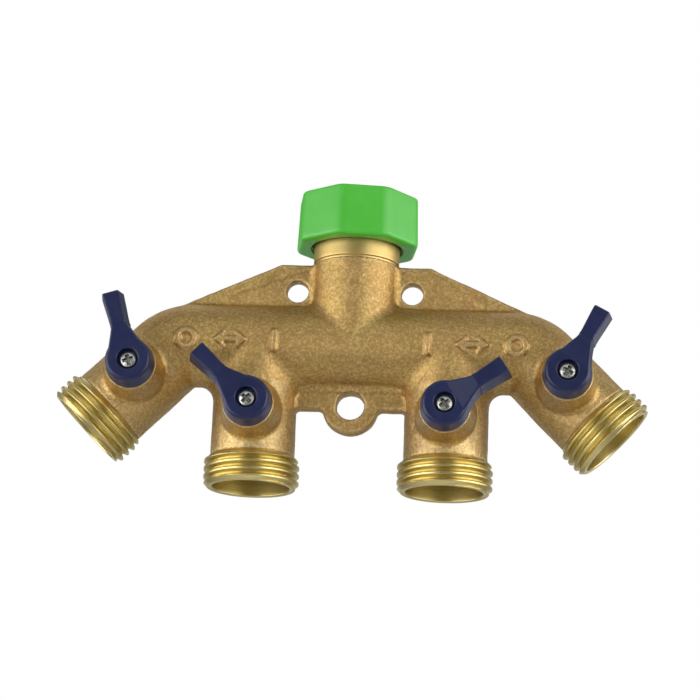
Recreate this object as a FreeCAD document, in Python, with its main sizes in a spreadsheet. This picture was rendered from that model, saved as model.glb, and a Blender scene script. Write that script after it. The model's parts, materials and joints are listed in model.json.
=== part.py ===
"""Garden hose splitter: one swivel inlet and four outlets, each with a quarter-turn ball valve.

Millimetres, +Z up along the inlet, +X to the right along the manifold tube and -Y towards the levers.
The origin is the centre of the inlet washer's upper face, where the end of a tap seats. The tube of the
cast manifold runs along X at axis_drop below it, and every valve turns on an axis parallel to Y.

Each valve is drawn about its own pivot: the ball's centre is the local origin, the outlet runs down the
local -Z and the lever, when open, points up the local +Z. Its Placement carries it to the manifold.
"""

import FreeCAD, Part
import os
import re

import PartDesign
import Sketcher

DIMENSIONS = {
    # Manifold casting, heights measured up or down from the tube's axis
    "axis_drop": 36.8,
    "tube_radius": 11.8,
    "arm_radius": 12.0,
    "bend_radius": 12.2,
    "corner_x": 49.8,
    "neck_radius": 11.75,
    "collar_radius": 12.25,
    "collar_start": 25.0,
    "collar_step": 0.4,
    "bore_radius": 8.0,
    "bore_reach": 46.0,
    "passage_radius": 6.5,
    # Valve places: inner pair straight down, outer pair tilted out
    "inner_pivot_x": 27.25,
    "inner_reach": 20.85,
    "outer_reach": 15.3,
    "outer_tilt": 45.0,
    # Outlets, distances measured along the outlet from the ball's centre
    "outlet_length": 20.2,
    "thread_crest_radius": 13.49,
    "thread_root_radius": 12.2,
    "thread_pitch": 2.209,
    "thread_last_crest": 18.85,
    "crest_half_width": 0.3,
    "flank_half_width": 1.0,
    "mouth_radius": 11.0,
    "mouth_depth": 6.4,
    "cavity_radius": 10.0,
    "cavity_start": 8.4,
    # Valve bosses, distances measured out from the mid-plane towards the levers
    "boss_radius": 7.6,
    "boss_foot_radius": 8.7,
    "boss_foot_out": 12.0,
    "boss_out": 19.6,
    "stem_bore_radius": 3.55,
    "counterbore_radius": 4.75,
    "counterbore_out": 12.2,
    # How far a cut runs past the face it opens
    "overcut": 1.0,
    # Stop lug on each boss, and the lever's travel in degrees
    "lever_travel": 90.0,
    "lug_inner_radius": 4.95,
    "lug_outer_radius": 6.15,
    "lug_half_width": 1.3,
    "lug_height": 1.4,
    # Webs in the mid-plane
    "web_thickness": 5.2,
    "web_recess": 0.6,
    "gusset_top": 24.2,
    "gusset_peak_x": 21.4,
    "gusset_peak_cut": 1.2,
    "gusset_foot_x": 50.0,
    "gusset_foot": 11.2,
    "panel_near": 21.5,
    "panel_far": 38.0,
    "panel_low": 12.3,
    "panel_high": 19.3,
    "upper_hole_x": 16.4,
    "upper_hole_rise": 16.4,
    "upper_hole_radius": 3.1,
    "lower_web_drop": 17.9,
    "lower_web_half_width": 17.0,
    "tab_hole_drop": 16.9,
    "tab_radius": 7.9,
    "tab_hole_radius": 3.95,
    # Raised off and on signs beside each pair of valves
    "sign_out": 12.35,
    "sign_height": 6.6,
    "sign_stroke": 1.6,
    "sign_drop": 0.75,
    "off_sign_x": 46.5,
    "on_sign_x": 21.5,
    "arrow_x": 34.0,
    "arrow_length": 9.4,
    "arrow_head": 3.0,
    # Inlet: neck end, washer, ring and swivel nut
    "washer_thickness": 2.8,
    "washer_radius": 12.1,
    "washer_bore_radius": 7.8,
    "ring_inner_radius": 11.7,
    "ring_outer_radius": 13.8,
    "ring_thickness": 1.0,
    "ring_rise": 32.0,
    "ring_half_gap": 4.9,
    "nut_bottom_rise": 29.5,
    "nut_top_rise": 44.35,
    "nut_core_radius": 15.0,
    "nut_flange_thickness": 1.0,
    "nut_flange_bore_radius": 13.2,
    "nut_lip_bore_radius": 13.1,
    "nut_lip_thickness": 1.4,
    "nut_relief_radius": 14.3,
    "nut_relief_height": 1.6,
    "nut_washer_bore_radius": 12.75,
    "thread_start": 37.0,
    "nut_thread_minor_radius": 12.35,
    "nut_thread_major_radius": 13.62,
    "nut_core_recess": 0.3,
    "nut_flat_radius": 16.95,
    "nut_draft": 1.75,
    "nut_corner_radius": 4.5,
    "nut_turn": 8.3,
    "nut_edge_round": 1.3,
    # Ball and seats
    "ball_radius": 9.0,
    "ball_bore_radius": 6.0,
    "ball_slot_width": 3.0,
    "ball_slot_floor": 6.4,
    "seat_radius": 9.95,
    "seat_bore_radius": 6.3,
    "seat_front": 4.62,
    "seat_clearance": 0.15,
    "retainer_start": 8.5,
    "retainer_bore_radius": 6.4,
    "retainer_slot_width": 2.0,
    "retainer_slot_depth": 1.5,
    # Stem and seals
    "tang_width": 2.8,
    "tang_half_length": 3.9,
    "tang_start": 6.6,
    "flange_start": 10.4,
    "flange_out": 12.0,
    "flange_radius": 4.6,
    "stem_radius": 3.5,
    "shaft_out": 19.8,
    "square_width": 4.6,
    "square_out": 22.2,
    "seal_section_radius": 0.48,
    "seal_centre_radius": 3.02,
    "seal_groove_radius": 2.5,
    "seal_groove_half_width": 0.55,
    "first_seal_out": 14.0,
    "second_seal_out": 17.0,
    # Lever and its screw
    "hub_back": 19.9,
    "hub_front": 26.0,
    "hub_base_radius": 7.0,
    "hub_front_radius": 6.2,
    "hub_bevel": 0.8,
    "socket_width": 4.7,
    "socket_floor": 22.4,
    "groove_inner_radius": 4.75,
    "groove_outer_radius": 6.35,
    "groove_depth": 1.6,
    "stop_clearance": 1.5,
    "arm_length": 20.2,
    "arm_back": 20.1,
    "arm_front": 27.6,
    "arm_root": 2.0,
    "arm_root_half_width": 4.5,
    "arm_neck_half_width": 1.8,
    "arm_tip_half_width": 2.45,
    "arm_draft": 0.8,
    "arm_bevel": 0.6,
    "ramp_start": 3.3,
    "ramp_end": 10.2,
    "recess_radius": 2.95,
    "recess_floor": 23.6,
    "screw_hole_radius": 1.6,
    "screw_radius": 1.5,
    "screw_start": 16.6,
    "screw_head_radius": 2.3,
    "screw_head_height": 1.3,
    "cross_width": 0.75,
    "cross_half_length": 1.3,
    "cross_depth": 0.9,
}

THREAD_RIDGES = 5
NUT_THREAD_GROOVES = 3
NUT_SIDES = 8

# side is -1 on the left and 1 on the right; turn is how far the lever stands from open, in degrees
VALVES = {
    "left_outer": {"side": -1, "outer": True, "turn": 62.4},
    "left_inner": {"side": -1, "outer": False, "turn": 47.6},
    "right_inner": {"side": 1, "outer": False, "turn": -55.4},
    "right_outer": {"side": 1, "outer": True, "turn": -73.0},
}

doc = FreeCAD.newDocument("hose_splitter")
sheet = doc.addObject("Spreadsheet::Sheet", "Dims")
sub_parts = []


def fill_sheet():
    """Writes every driving dimension to the spreadsheet, one row each, with its name as alias."""
    for row, (alias, value) in enumerate(DIMENSIONS.items(), start=1):
        sheet.set(f"A{row}", alias)
        sheet.set(f"B{row}", str(value))
        sheet.setAlias(f"B{row}", alias)
    doc.recompute()


def bound(formula):
    """Turns a formula that names dimensions into an expression that reads the spreadsheet."""
    return re.sub(r"[a-z_]+", lambda word: f"Dims.{word[0]}" if word[0] in DIMENSIONS else word[0], formula)


def value(formula):
    """The number that a formula of the spreadsheet's dimensions comes to."""
    return float(sheet.evalExpression(bound(formula)))


# ---------------------------------------------------------------- sketches and features


def new_body(name):
    body = doc.addObject("PartDesign::Body", name)
    body.Label = name
    sub_parts.append(body)
    return body


def sketch_on(body, name, plane_role, across="0", up="0", out="0", turn="0"):
    """A sketch on the body's own origin plane, moved across, up and out of it and turned within it."""
    plane = next(feature for feature in body.Origin.OriginFeatures if feature.Role == plane_role)
    sketch = body.newObject("Sketcher::SketchObject", name)
    sketch.AttachmentSupport = [(plane, "")]
    sketch.MapMode = "FlatFace"
    sketch.setExpression("AttachmentOffset.Base.x", bound(across))
    sketch.setExpression("AttachmentOffset.Base.y", bound(up))
    sketch.setExpression("AttachmentOffset.Base.z", bound(out))
    sketch.setExpression("AttachmentOffset.Rotation.Angle", bound(turn))
    return sketch


def pin_point(sketch, geometry, vertex, across, up):
    """Holds one point of a sketch at the place that two formulas give."""
    for kind, zero_axis, formula in (("DistanceX", -2, across), ("DistanceY", -1, up)):
        if formula == "0":
            sketch.addConstraint(Sketcher.Constraint("PointOnObject", geometry, vertex, zero_axis))
            continue
        distance = Sketcher.Constraint(kind, -1, 1, geometry, vertex, value(formula))
        index = sketch.addConstraint(distance)
        sketch.setExpression(f"Constraints[{index}]", bound(formula))


def draw_outline(sketch, points):
    """A closed outline of straight lines, with each corner at the place its two formulas give."""
    places = [FreeCAD.Vector(value(across), value(up), 0) for across, up in points]
    first = sketch.GeometryCount
    count = len(places)
    for index in range(count):
        sketch.addGeometry(Part.LineSegment(places[index], places[(index + 1) % count]))
    for index in range(count):
        following = first + (index + 1) % count
        sketch.addConstraint(Sketcher.Constraint("Coincident", first + index, 2, following, 1))
    for index, (across, up) in enumerate(points):
        pin_point(sketch, first + index, 1, across, up)


def draw_box(sketch, left, right, low, high):
    draw_outline(sketch, [(left, low), (right, low), (right, high), (left, high)])


def draw_circle(sketch, radius, across="0", up="0"):
    centre = FreeCAD.Vector(value(across), value(up), 0)
    circle = sketch.addGeometry(Part.Circle(centre, FreeCAD.Vector(0, 0, 1), value(radius)))
    pin_point(sketch, circle, 3, across, up)
    index = sketch.addConstraint(Sketcher.Constraint("Radius", circle, value(radius)))
    sketch.setExpression(f"Constraints[{index}]", bound(radius))


def extrude(kind, sketch, length, both_ways=False, backwards=False):
    """A Pad or Pocket of the sketch, along the sketch's own normal unless backwards."""
    body = sketch.getParentGeoFeatureGroup()
    feature = body.newObject(f"PartDesign::{kind}", f"{sketch.Name}_{kind.lower()}")
    feature.Profile = sketch
    feature.setExpression("Length", bound(length))
    feature.SideType = "Symmetric" if both_ways else "One side"
    feature.Reversed = backwards
    return feature


def pocket(sketch, length, both_ways=False):
    """A Pocket that cuts along the sketch's own normal."""
    return extrude("Pocket", sketch, length, both_ways, backwards=True)


def revolve(kind, sketch, axis, angle="360", backwards=False):
    """A Revolution or Groove of the sketch about one of its own axes."""
    body = sketch.getParentGeoFeatureGroup()
    feature = body.newObject(f"PartDesign::{kind}", f"{sketch.Name}_{kind.lower()}")
    feature.Profile = sketch
    feature.ReferenceAxis = (sketch, [axis])
    feature.setExpression("Angle", bound(angle))
    feature.Reversed = backwards
    return feature


# ---------------------------------------------------------------- where each valve stands


def valve_tilt(valve):
    """Formula of the outlet's tilt out of straight down, counter-clockwise seen from the levers."""
    if not valve["outer"]:
        return "0"
    return f"{valve['side']} * outer_tilt"


def valve_across(valve):
    """Formula of the X of a valve's pivot."""
    if not valve["outer"]:
        return f"{valve['side']} * inner_pivot_x"
    return f"{valve['side']} * ( corner_x + outer_reach * sin( outer_tilt ) )"


def valve_up(valve):
    """Formula of the Z of a valve's pivot."""
    if not valve["outer"]:
        return "0 - axis_drop - inner_reach"
    return "0 - axis_drop - outer_reach * cos( outer_tilt )"


def place_valve_part(part, valve, turn=0.0):
    """Carries a part drawn about the local pivot to its valve, and turns it with the lever."""
    place = FreeCAD.Vector(value(valve_across(valve)), 0, value(valve_up(valve)))
    towards_levers = FreeCAD.Vector(0, -1, 0)
    part.Placement = FreeCAD.Placement(
        place, FreeCAD.Rotation(towards_levers, value(valve_tilt(valve)) + turn)
    )


# ---------------------------------------------------------------- manifold casting


def add_tube_and_neck(body):
    tube = sketch_on(body, "tube", "YZ_Plane", up="0 - axis_drop")
    draw_circle(tube, "tube_radius")
    extrude("Pad", tube, "2 * ( corner_x - bend_radius * tan( outer_tilt / 2 ) )", both_ways=True)

    neck = sketch_on(body, "neck", "XZ_Plane", up="0 - axis_drop")
    neck_end = "axis_drop - washer_thickness"
    draw_outline(
        neck,
        [
            ("0", "0"),
            ("neck_radius", "0"),
            ("neck_radius", "collar_start - collar_step"),
            ("neck_radius - collar_step", "collar_start - collar_step"),
            ("neck_radius - collar_step", "collar_start"),
            ("collar_radius", "collar_start"),
            ("collar_radius", "ring_rise"),
            ("ring_inner_radius", "ring_rise"),
            ("ring_inner_radius", "ring_rise + ring_thickness"),
            ("collar_radius", "ring_rise + ring_thickness"),
            ("collar_radius", neck_end),
            ("0", neck_end),
        ],
    )
    revolve("Revolution", neck, "V_Axis")


def add_elbow(body, name, side):
    """The bend from the tube's end down into an outer outlet."""
    start = f"{side} * ( corner_x - bend_radius * tan( outer_tilt / 2 ) )"
    bend = sketch_on(body, f"{name}_bend", "YZ_Plane", up="0 - axis_drop", out=start)
    draw_circle(bend, "tube_radius")
    centre_line = bend.addGeometry(
        Part.LineSegment(
            FreeCAD.Vector(-1, -value("bend_radius"), 0), FreeCAD.Vector(1, -value("bend_radius"), 0)
        ),
        True,
    )
    pin_point(bend, centre_line, 1, "-1", "0 - bend_radius")
    pin_point(bend, centre_line, 2, "1", "0 - bend_radius")
    revolve("Revolution", bend, "Axis0", angle="outer_tilt", backwards=side < 0)


def thread_ridges():
    """Corners of the outlet's thread ridges, from the one nearest the ball to the one at the end."""
    corners = []
    for ridge in range(THREAD_RIDGES):
        crest = f"0 - thread_last_crest + {THREAD_RIDGES - 1 - ridge} * thread_pitch"
        corners += [
            ("thread_root_radius", f"{crest} + flank_half_width"),
            ("thread_crest_radius", f"{crest} + crest_half_width"),
            ("thread_crest_radius", f"{crest} - crest_half_width"),
            ("thread_root_radius", f"{crest} - flank_half_width"),
        ]
    return corners


def add_outlet(body, name, valve):
    """The outlet's tube and threaded end, drawn as a half section and turned about the outlet's axis."""
    radius = "arm_radius" if valve["outer"] else "tube_radius"
    reach = "outer_reach" if valve["outer"] else "inner_reach"
    section = sketch_on(
        body, f"{name}_outlet", "XZ_Plane", valve_across(valve), valve_up(valve), turn=valve_tilt(valve)
    )
    thread = thread_ridges()
    draw_outline(
        section,
        [("0", reach), (radius, reach), (radius, thread[0][1])]
        + thread
        + [("thread_root_radius", "0 - outlet_length"), ("0", "0 - outlet_length")],
    )
    revolve("Revolution", section, "V_Axis")


def add_boss(body, name, valve):
    """The round boss that carries the valve stem, tapered out from the outlet."""
    section = sketch_on(
        body, f"{name}_boss", "YZ_Plane", up=valve_up(valve), out=valve_across(valve)
    )
    draw_outline(
        section,
        [
            ("0", "0"),
            ("0", "boss_foot_radius"),
            ("0 - boss_foot_out", "boss_foot_radius"),
            ("0 - boss_out", "boss_radius"),
            ("0 - boss_out", "0"),
        ],
    )
    revolve("Revolution", section, "H_Axis")


def add_stop_lug(body, name, valve):
    """The lug on the boss that the lever's groove runs round; it stands opposite mid-travel."""
    lug_turn = f"{valve_tilt(valve)} - {valve['side']} * lever_travel / 2"
    lug = sketch_on(
        body, f"{name}_lug", "XZ_Plane", valve_across(valve), valve_up(valve), "boss_out - overcut / 2", lug_turn
    )
    draw_box(
        lug, "0 - lug_half_width", "lug_half_width", "0 - lug_outer_radius", "0 - lug_inner_radius"
    )
    extrude("Pad", lug, "lug_height + overcut / 2")


def add_webs(body):
    """The gussets beside the neck and the web with its hanging tab between the inner outlets."""
    for side, name in ((-1, "left"), (1, "right")):
        gusset = sketch_on(body, f"{name}_gusset", "XZ_Plane", up="0 - axis_drop")
        draw_outline(
            gusset,
            [
                (f"{side} * bore_radius", "bore_radius"),
                (f"{side} * gusset_foot_x", "bore_radius"),
                (f"{side} * gusset_foot_x", "gusset_foot"),
                (f"{side} * ( gusset_peak_x + gusset_peak_cut )", "gusset_top - gusset_peak_cut / 2"),
                (f"{side} * ( gusset_peak_x - gusset_peak_cut )", "gusset_top"),
                (f"{side} * bore_radius", "gusset_top"),
            ],
        )
        extrude("Pad", gusset, "web_thickness", both_ways=True)

    web = sketch_on(body, "lower_web", "XZ_Plane", up="0 - axis_drop")
    draw_box(web, "0 - lower_web_half_width", "lower_web_half_width", "0 - lower_web_drop", "0 - bore_radius")
    extrude("Pad", web, "web_thickness", both_ways=True)

    tab = sketch_on(body, "tab", "XZ_Plane", up="0 - axis_drop")
    draw_circle(tab, "tab_radius", up="0 - tab_hole_drop")
    extrude("Pad", tab, "web_thickness", both_ways=True)


def add_signs(body):
    """Raised signs on the tube: a ring for off, a bar for on and an arrow each way between them."""
    for side, name in ((-1, "left"), (1, "right")):
        level = "0 - axis_drop - sign_drop"

        ring = sketch_on(body, f"{name}_off_sign", "XZ_Plane", f"{side} * off_sign_x", level)
        draw_circle(ring, "sign_height / 2")
        draw_circle(ring, "sign_height / 2 - sign_stroke")
        extrude("Pad", ring, "sign_out")

        bar = sketch_on(body, f"{name}_on_sign", "XZ_Plane", f"{side} * on_sign_x", level)
        half_stroke = "sign_stroke / 2"
        draw_box(bar, f"0 - {half_stroke}", half_stroke, "0 - sign_height / 2", "sign_height / 2")
        extrude("Pad", bar, "sign_out")

        arrow = sketch_on(body, f"{name}_arrow", "XZ_Plane", f"{side} * arrow_x", level)
        tip = "arrow_length / 2"
        neck = "( arrow_length / 2 - arrow_head )"
        half_shaft = "sign_stroke / 3"
        draw_outline(
            arrow,
            [
                (tip, "0"),
                (neck, "arrow_head / 1.5"),
                (neck, half_shaft),
                (f"0 - {neck}", half_shaft),
                (f"0 - {neck}", "arrow_head / 1.5"),
                (f"0 - {tip}", "0"),
                (f"0 - {neck}", "0 - arrow_head / 1.5"),
                (f"0 - {neck}", f"0 - {half_shaft}"),
                (neck, f"0 - {half_shaft}"),
                (neck, "0 - arrow_head / 1.5"),
            ],
        )
        extrude("Pad", arrow, "sign_out")


def cut_waterways(body):
    """The bore down the neck and along the tube, then each outlet's passage, ball cavity and mouth."""
    down = sketch_on(body, "inlet_bore", "XZ_Plane", up="0 - axis_drop")
    draw_outline(
        down,
        [
            ("0", "0"),
            ("bore_radius", "0"),
            ("bore_radius", "axis_drop"),
            ("0", "axis_drop"),
        ],
    )
    revolve("Groove", down, "V_Axis")

    along = sketch_on(body, "tube_bore", "XZ_Plane", up="0 - axis_drop")
    draw_outline(
        along,
        [
            ("0 - bore_reach", "0"),
            ("0 - bore_reach + bore_radius / 2", "bore_radius"),
            ("bore_reach - bore_radius / 2", "bore_radius"),
            ("bore_reach", "0"),
        ],
    )
    revolve("Groove", along, "H_Axis")

    for name, valve in VALVES.items():
        reach = "outer_reach" if valve["outer"] else "inner_reach"
        section = sketch_on(
            body, f"{name}_waterway", "XZ_Plane", valve_across(valve), valve_up(valve),
            turn=valve_tilt(valve),
        )
        draw_outline(
            section,
            [
                ("0", reach),
                ("passage_radius", reach),
                ("passage_radius", "cavity_start"),
                ("cavity_radius", "cavity_start"),
                ("cavity_radius", "mouth_depth - outlet_length"),
                ("mouth_radius", "mouth_depth - outlet_length"),
                ("mouth_radius", "0 - outlet_length - overcut"),
                ("0", "0 - outlet_length - overcut"),
            ],
        )
        revolve("Groove", section, "V_Axis")


def cut_stem_bores(body):
    """The bore through each boss for the stem, wider on the inside for the stem's flange."""
    for name, valve in VALVES.items():
        section = sketch_on(
            body, f"{name}_stem_bore", "YZ_Plane", up=valve_up(valve), out=valve_across(valve)
        )
        draw_outline(
            section,
            [
                ("0", "0"),
                ("0", "counterbore_radius"),
                ("0 - counterbore_out", "counterbore_radius"),
                ("0 - counterbore_out", "stem_bore_radius"),
                ("0 - boss_out - overcut", "stem_bore_radius"),
                ("0 - boss_out - overcut", "0"),
            ],
        )
        revolve("Groove", section, "H_Axis")


def cut_web_details(body):
    """The screw holes through the webs and the recessed panels on both faces of the gussets."""
    for side, name in ((-1, "left"), (1, "right")):
        hole = sketch_on(body, f"{name}_screw_hole", "XZ_Plane", up="0 - axis_drop")
        draw_circle(hole, "upper_hole_radius", f"{side} * upper_hole_x", "upper_hole_rise")
        extrude("Pocket", hole, "3 * web_thickness", both_ways=True)

    hole = sketch_on(body, "tab_hole", "XZ_Plane", up="0 - axis_drop")
    draw_circle(hole, "tab_hole_radius", up="0 - tab_hole_drop")
    extrude("Pocket", hole, "3 * web_thickness", both_ways=True)

    for side, name in ((-1, "left"), (1, "right")):
        for face, out in (("front", "web_thickness / 2 - web_recess"), ("back", "0 - web_thickness / 2")):
            panel = sketch_on(body, f"{name}_{face}_panel", "XZ_Plane", up="0 - axis_drop", out=out)
            draw_outline(
                panel,
                [
                    (f"{side} * panel_near", "panel_low"),
                    (f"{side} * panel_far", "panel_low"),
                    (f"{side} * ( panel_near + 1 )", "panel_high"),
                    (f"{side} * panel_near", "panel_high"),
                ],
            )
            pocket(panel, "web_recess")


def make_manifold():
    body = new_body("manifold_body")
    add_tube_and_neck(body)
    for name, valve in VALVES.items():
        if valve["outer"]:
            add_elbow(body, name, valve["side"])
    for name, valve in VALVES.items():
        add_outlet(body, name, valve)
        add_boss(body, name, valve)
    add_webs(body)
    add_signs(body)
    cut_waterways(body)
    cut_stem_bores(body)
    cut_web_details(body)
    for name, valve in VALVES.items():
        add_stop_lug(body, name, valve)
    return body


# ---------------------------------------------------------------- inlet


def make_washer():
    body = new_body("inlet_washer")
    section = sketch_on(body, "washer_section", "XZ_Plane")
    draw_box(section, "washer_bore_radius", "washer_radius", "0 - washer_thickness", "0")
    revolve("Revolution", section, "V_Axis")


def make_retaining_ring():
    """A split ring snapped into the neck's groove; the nut's lip bears up against it."""
    body = new_body("retaining_ring")
    level = "ring_rise - axis_drop"
    plan = sketch_on(body, "ring_plan", "XY_Plane", out=level)
    draw_circle(plan, "ring_outer_radius")
    draw_circle(plan, "ring_inner_radius")
    extrude("Pad", plan, "ring_thickness")
    gap = sketch_on(body, "ring_gap", "XY_Plane", out=level)
    draw_box(gap, "0 - ring_half_gap", "ring_half_gap", "0", "2 * ring_outer_radius")
    pocket(gap, "ring_thickness")


def make_nut_core():
    """The brass swivel nut: a lip held by the ring, a relief round the ring, room for the washer and the
    inlet's female thread."""
    body = new_body("swivel_nut_core")
    section = sketch_on(body, "nut_core_section", "XZ_Plane", up="0 - axis_drop")
    bottom = "nut_bottom_rise + nut_flange_thickness"
    lip_top = f"{bottom} + nut_lip_thickness"
    relief_top = f"{lip_top} + nut_relief_height"
    top = "nut_top_rise - nut_core_recess"
    grooves = []
    for groove in range(NUT_THREAD_GROOVES):
        root = f"thread_start + {groove + 0.6} * thread_pitch"
        grooves += [
            ("nut_thread_minor_radius", f"{root} - flank_half_width"),
            ("nut_thread_major_radius", f"{root} - crest_half_width"),
            ("nut_thread_major_radius", f"{root} + crest_half_width"),
            ("nut_thread_minor_radius", f"{root} + flank_half_width"),
        ]
    draw_outline(
        section,
        [
            ("nut_core_radius", bottom),
            ("nut_lip_bore_radius", bottom),
            ("nut_lip_bore_radius", lip_top),
            ("nut_relief_radius", lip_top),
            ("nut_relief_radius", relief_top),
            ("nut_washer_bore_radius", relief_top),
            ("nut_washer_bore_radius", "thread_start"),
            ("nut_thread_minor_radius", "thread_start"),
        ]
        + grooves
        + [("nut_thread_minor_radius", top), ("nut_core_radius", top)],
    )
    revolve("Revolution", section, "V_Axis")


def make_nut_grip():
    """The moulded eight-sided grip round the brass nut, drawn in towards its top, with rounded corners
    and edges."""
    body = new_body("swivel_nut_grip")
    plan = sketch_on(body, "grip_plan", "XY_Plane", out="nut_bottom_rise - axis_drop", turn="nut_turn")
    corners = []
    for side in range(NUT_SIDES):
        angle = f"{360 / NUT_SIDES * side}"
        corner_distance = f"nut_flat_radius / cos( {180 / NUT_SIDES} )"
        corners.append((f"{corner_distance} * cos( {angle} )", f"{corner_distance} * sin( {angle} )"))
    draw_outline(plan, [tuple("0" if abs(value(part)) < 1e-9 else part for part in pair) for pair in corners])
    block = extrude("Pad", plan, "nut_top_rise - nut_bottom_rise")
    block.setExpression("TaperAngle", bound("0 - nut_draft"))
    doc.recompute()

    upright = [
        f"Edge{index}"
        for index, edge in enumerate(block.Shape.Edges, start=1)
        if abs(edge.Vertexes[0].Z - edge.Vertexes[-1].Z) > 1
    ]
    rounded = body.newObject("PartDesign::Fillet", "grip_corners")
    rounded.Base = (block, upright)
    rounded.setExpression("Radius", bound("nut_corner_radius"))
    doc.recompute()

    rims = [
        f"Edge{index}"
        for index, edge in enumerate(rounded.Shape.Edges, start=1)
        if abs(edge.BoundBox.ZMax - edge.BoundBox.ZMin) < 1e-6
    ]
    eased = body.newObject("PartDesign::Fillet", "grip_rims")
    eased.Base = (rounded, rims)
    eased.setExpression("Radius", bound("nut_edge_round"))
    doc.recompute()

    bore = sketch_on(body, "grip_bore", "XY_Plane", out="nut_bottom_rise + nut_flange_thickness - axis_drop")
    draw_circle(bore, "nut_core_radius")
    pocket(bore, "nut_top_rise - nut_bottom_rise")
    mouth = sketch_on(body, "grip_mouth", "XY_Plane", out="nut_bottom_rise - axis_drop")
    draw_circle(mouth, "nut_flange_bore_radius")
    pocket(mouth, "nut_flange_thickness")


# ---------------------------------------------------------------- valve parts


def rod(name, radius, start, length, direction):
    """A plain Part::Cylinder whose base stands at start along direction, used as a boolean tool."""
    cylinder = doc.addObject("Part::Cylinder", name)
    cylinder.setExpression("Radius", bound(radius))
    cylinder.setExpression("Height", bound(length))
    turn = FreeCAD.Rotation(FreeCAD.Vector(0, 0, 1), direction)
    cylinder.Placement = FreeCAD.Placement(direction * value(start), turn)
    return cylinder


def ball_shape(name, radius):
    sphere = doc.addObject("Part::Sphere", name)
    sphere.setExpression("Radius", bound(radius))
    return sphere


def cut(name, base, tool):
    result = doc.addObject("Part::Cut", name)
    result.Base = base
    result.Tool = tool
    return result


def make_ball(name, valve):
    """A ball bored through along the outlet when open, with a slot for the stem's tang."""
    down = FreeCAD.Vector(0, 0, -1)
    sphere = ball_shape(f"{name}_ball_blank", "ball_radius")
    bore = rod(f"{name}_ball_bore", "ball_bore_radius", "0 - ball_radius", "2 * ball_radius", down)
    slot = doc.addObject("Part::Box", f"{name}_ball_slot")
    slot.setExpression("Length", bound("2 * ball_radius"))
    slot.setExpression("Width", bound("ball_radius"))
    slot.setExpression("Height", bound("ball_slot_width"))
    slot.setExpression("Placement.Base.x", bound("0 - ball_radius"))
    slot.setExpression("Placement.Base.y", bound("0 - ball_slot_floor - ball_radius"))
    slot.setExpression("Placement.Base.z", bound("0 - ball_slot_width / 2"))
    ball = cut(f"{name}_ball", cut(f"{name}_ball_bored", sphere, bore), slot)
    place_valve_part(ball, valve, valve["turn"])
    sub_parts.append(ball)


def make_seat(name, valve, place, direction):
    """A ring that the ball bears on, hollowed to the ball's curve with a little clearance."""
    ring = rod(f"{name}_{place}_blank", "seat_radius", "seat_front", "cavity_start - seat_front", direction)
    hole = rod(f"{name}_{place}_hole", "seat_bore_radius", "0", "2 * ball_radius", direction)
    hollow = ball_shape(f"{name}_{place}_hollow", "ball_radius + seat_clearance")
    seat = cut(f"{name}_{place}_seat", cut(f"{name}_{place}_bored", ring, hole), hollow)
    place_valve_part(seat, valve)
    sub_parts.append(seat)


def make_retainer(name, valve):
    """The brass ring screwed in behind the outer seat, with two slots for its key."""
    body = new_body(f"{name}_seat_retainer")
    section = sketch_on(body, f"{name}_retainer_section", "XZ_Plane")
    end = "mouth_depth - outlet_length"
    draw_box(section, "retainer_bore_radius", "seat_radius", end, "0 - retainer_start")
    revolve("Revolution", section, "V_Axis")
    slots = sketch_on(body, f"{name}_retainer_slots", "XY_Plane", out=end)
    half_slot = "retainer_slot_width / 2"
    draw_box(slots, "0 - cavity_radius", "cavity_radius", f"0 - {half_slot}", half_slot)
    pocket(slots, "retainer_slot_depth")
    place_valve_part(body, valve)


def make_stem(name, valve):
    """The stem: a tang in the ball, a flange that keeps it in, two seal grooves and a square drive."""
    body = new_body(f"{name}_stem")
    section = sketch_on(body, f"{name}_stem_section", "YZ_Plane")
    shaft = []
    for seal in ("first_seal_out", "second_seal_out"):
        shaft += [
            (f"0 - {seal} + seal_groove_half_width", "stem_radius"),
            (f"0 - {seal} + seal_groove_half_width", "seal_groove_radius"),
            (f"0 - {seal} - seal_groove_half_width", "seal_groove_radius"),
            (f"0 - {seal} - seal_groove_half_width", "stem_radius"),
        ]
    draw_outline(
        section,
        [
            ("0 - flange_start", "0"),
            ("0 - flange_start", "flange_radius"),
            ("0 - flange_out", "flange_radius"),
            ("0 - flange_out", "stem_radius"),
        ]
        + shaft
        + [("0 - shaft_out", "stem_radius"), ("0 - shaft_out", "0")],
    )
    revolve("Revolution", section, "H_Axis")

    tang = sketch_on(body, f"{name}_tang", "XZ_Plane", out="tang_start")
    draw_box(tang, "0 - tang_half_length", "tang_half_length", "0 - tang_width / 2", "tang_width / 2")
    extrude("Pad", tang, "flange_start - tang_start")

    square = sketch_on(body, f"{name}_square", "XZ_Plane", out="shaft_out")
    half = "square_width / 2"
    draw_box(square, f"0 - {half}", half, f"0 - {half}", half)
    extrude("Pad", square, "square_out - shaft_out")

    screw_hole = sketch_on(body, f"{name}_stem_hole", "XZ_Plane", out="screw_start - overcut / 2")
    draw_circle(screw_hole, "screw_radius")
    pocket(screw_hole, "square_out - screw_start + overcut")
    place_valve_part(body, valve, valve["turn"])


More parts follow.
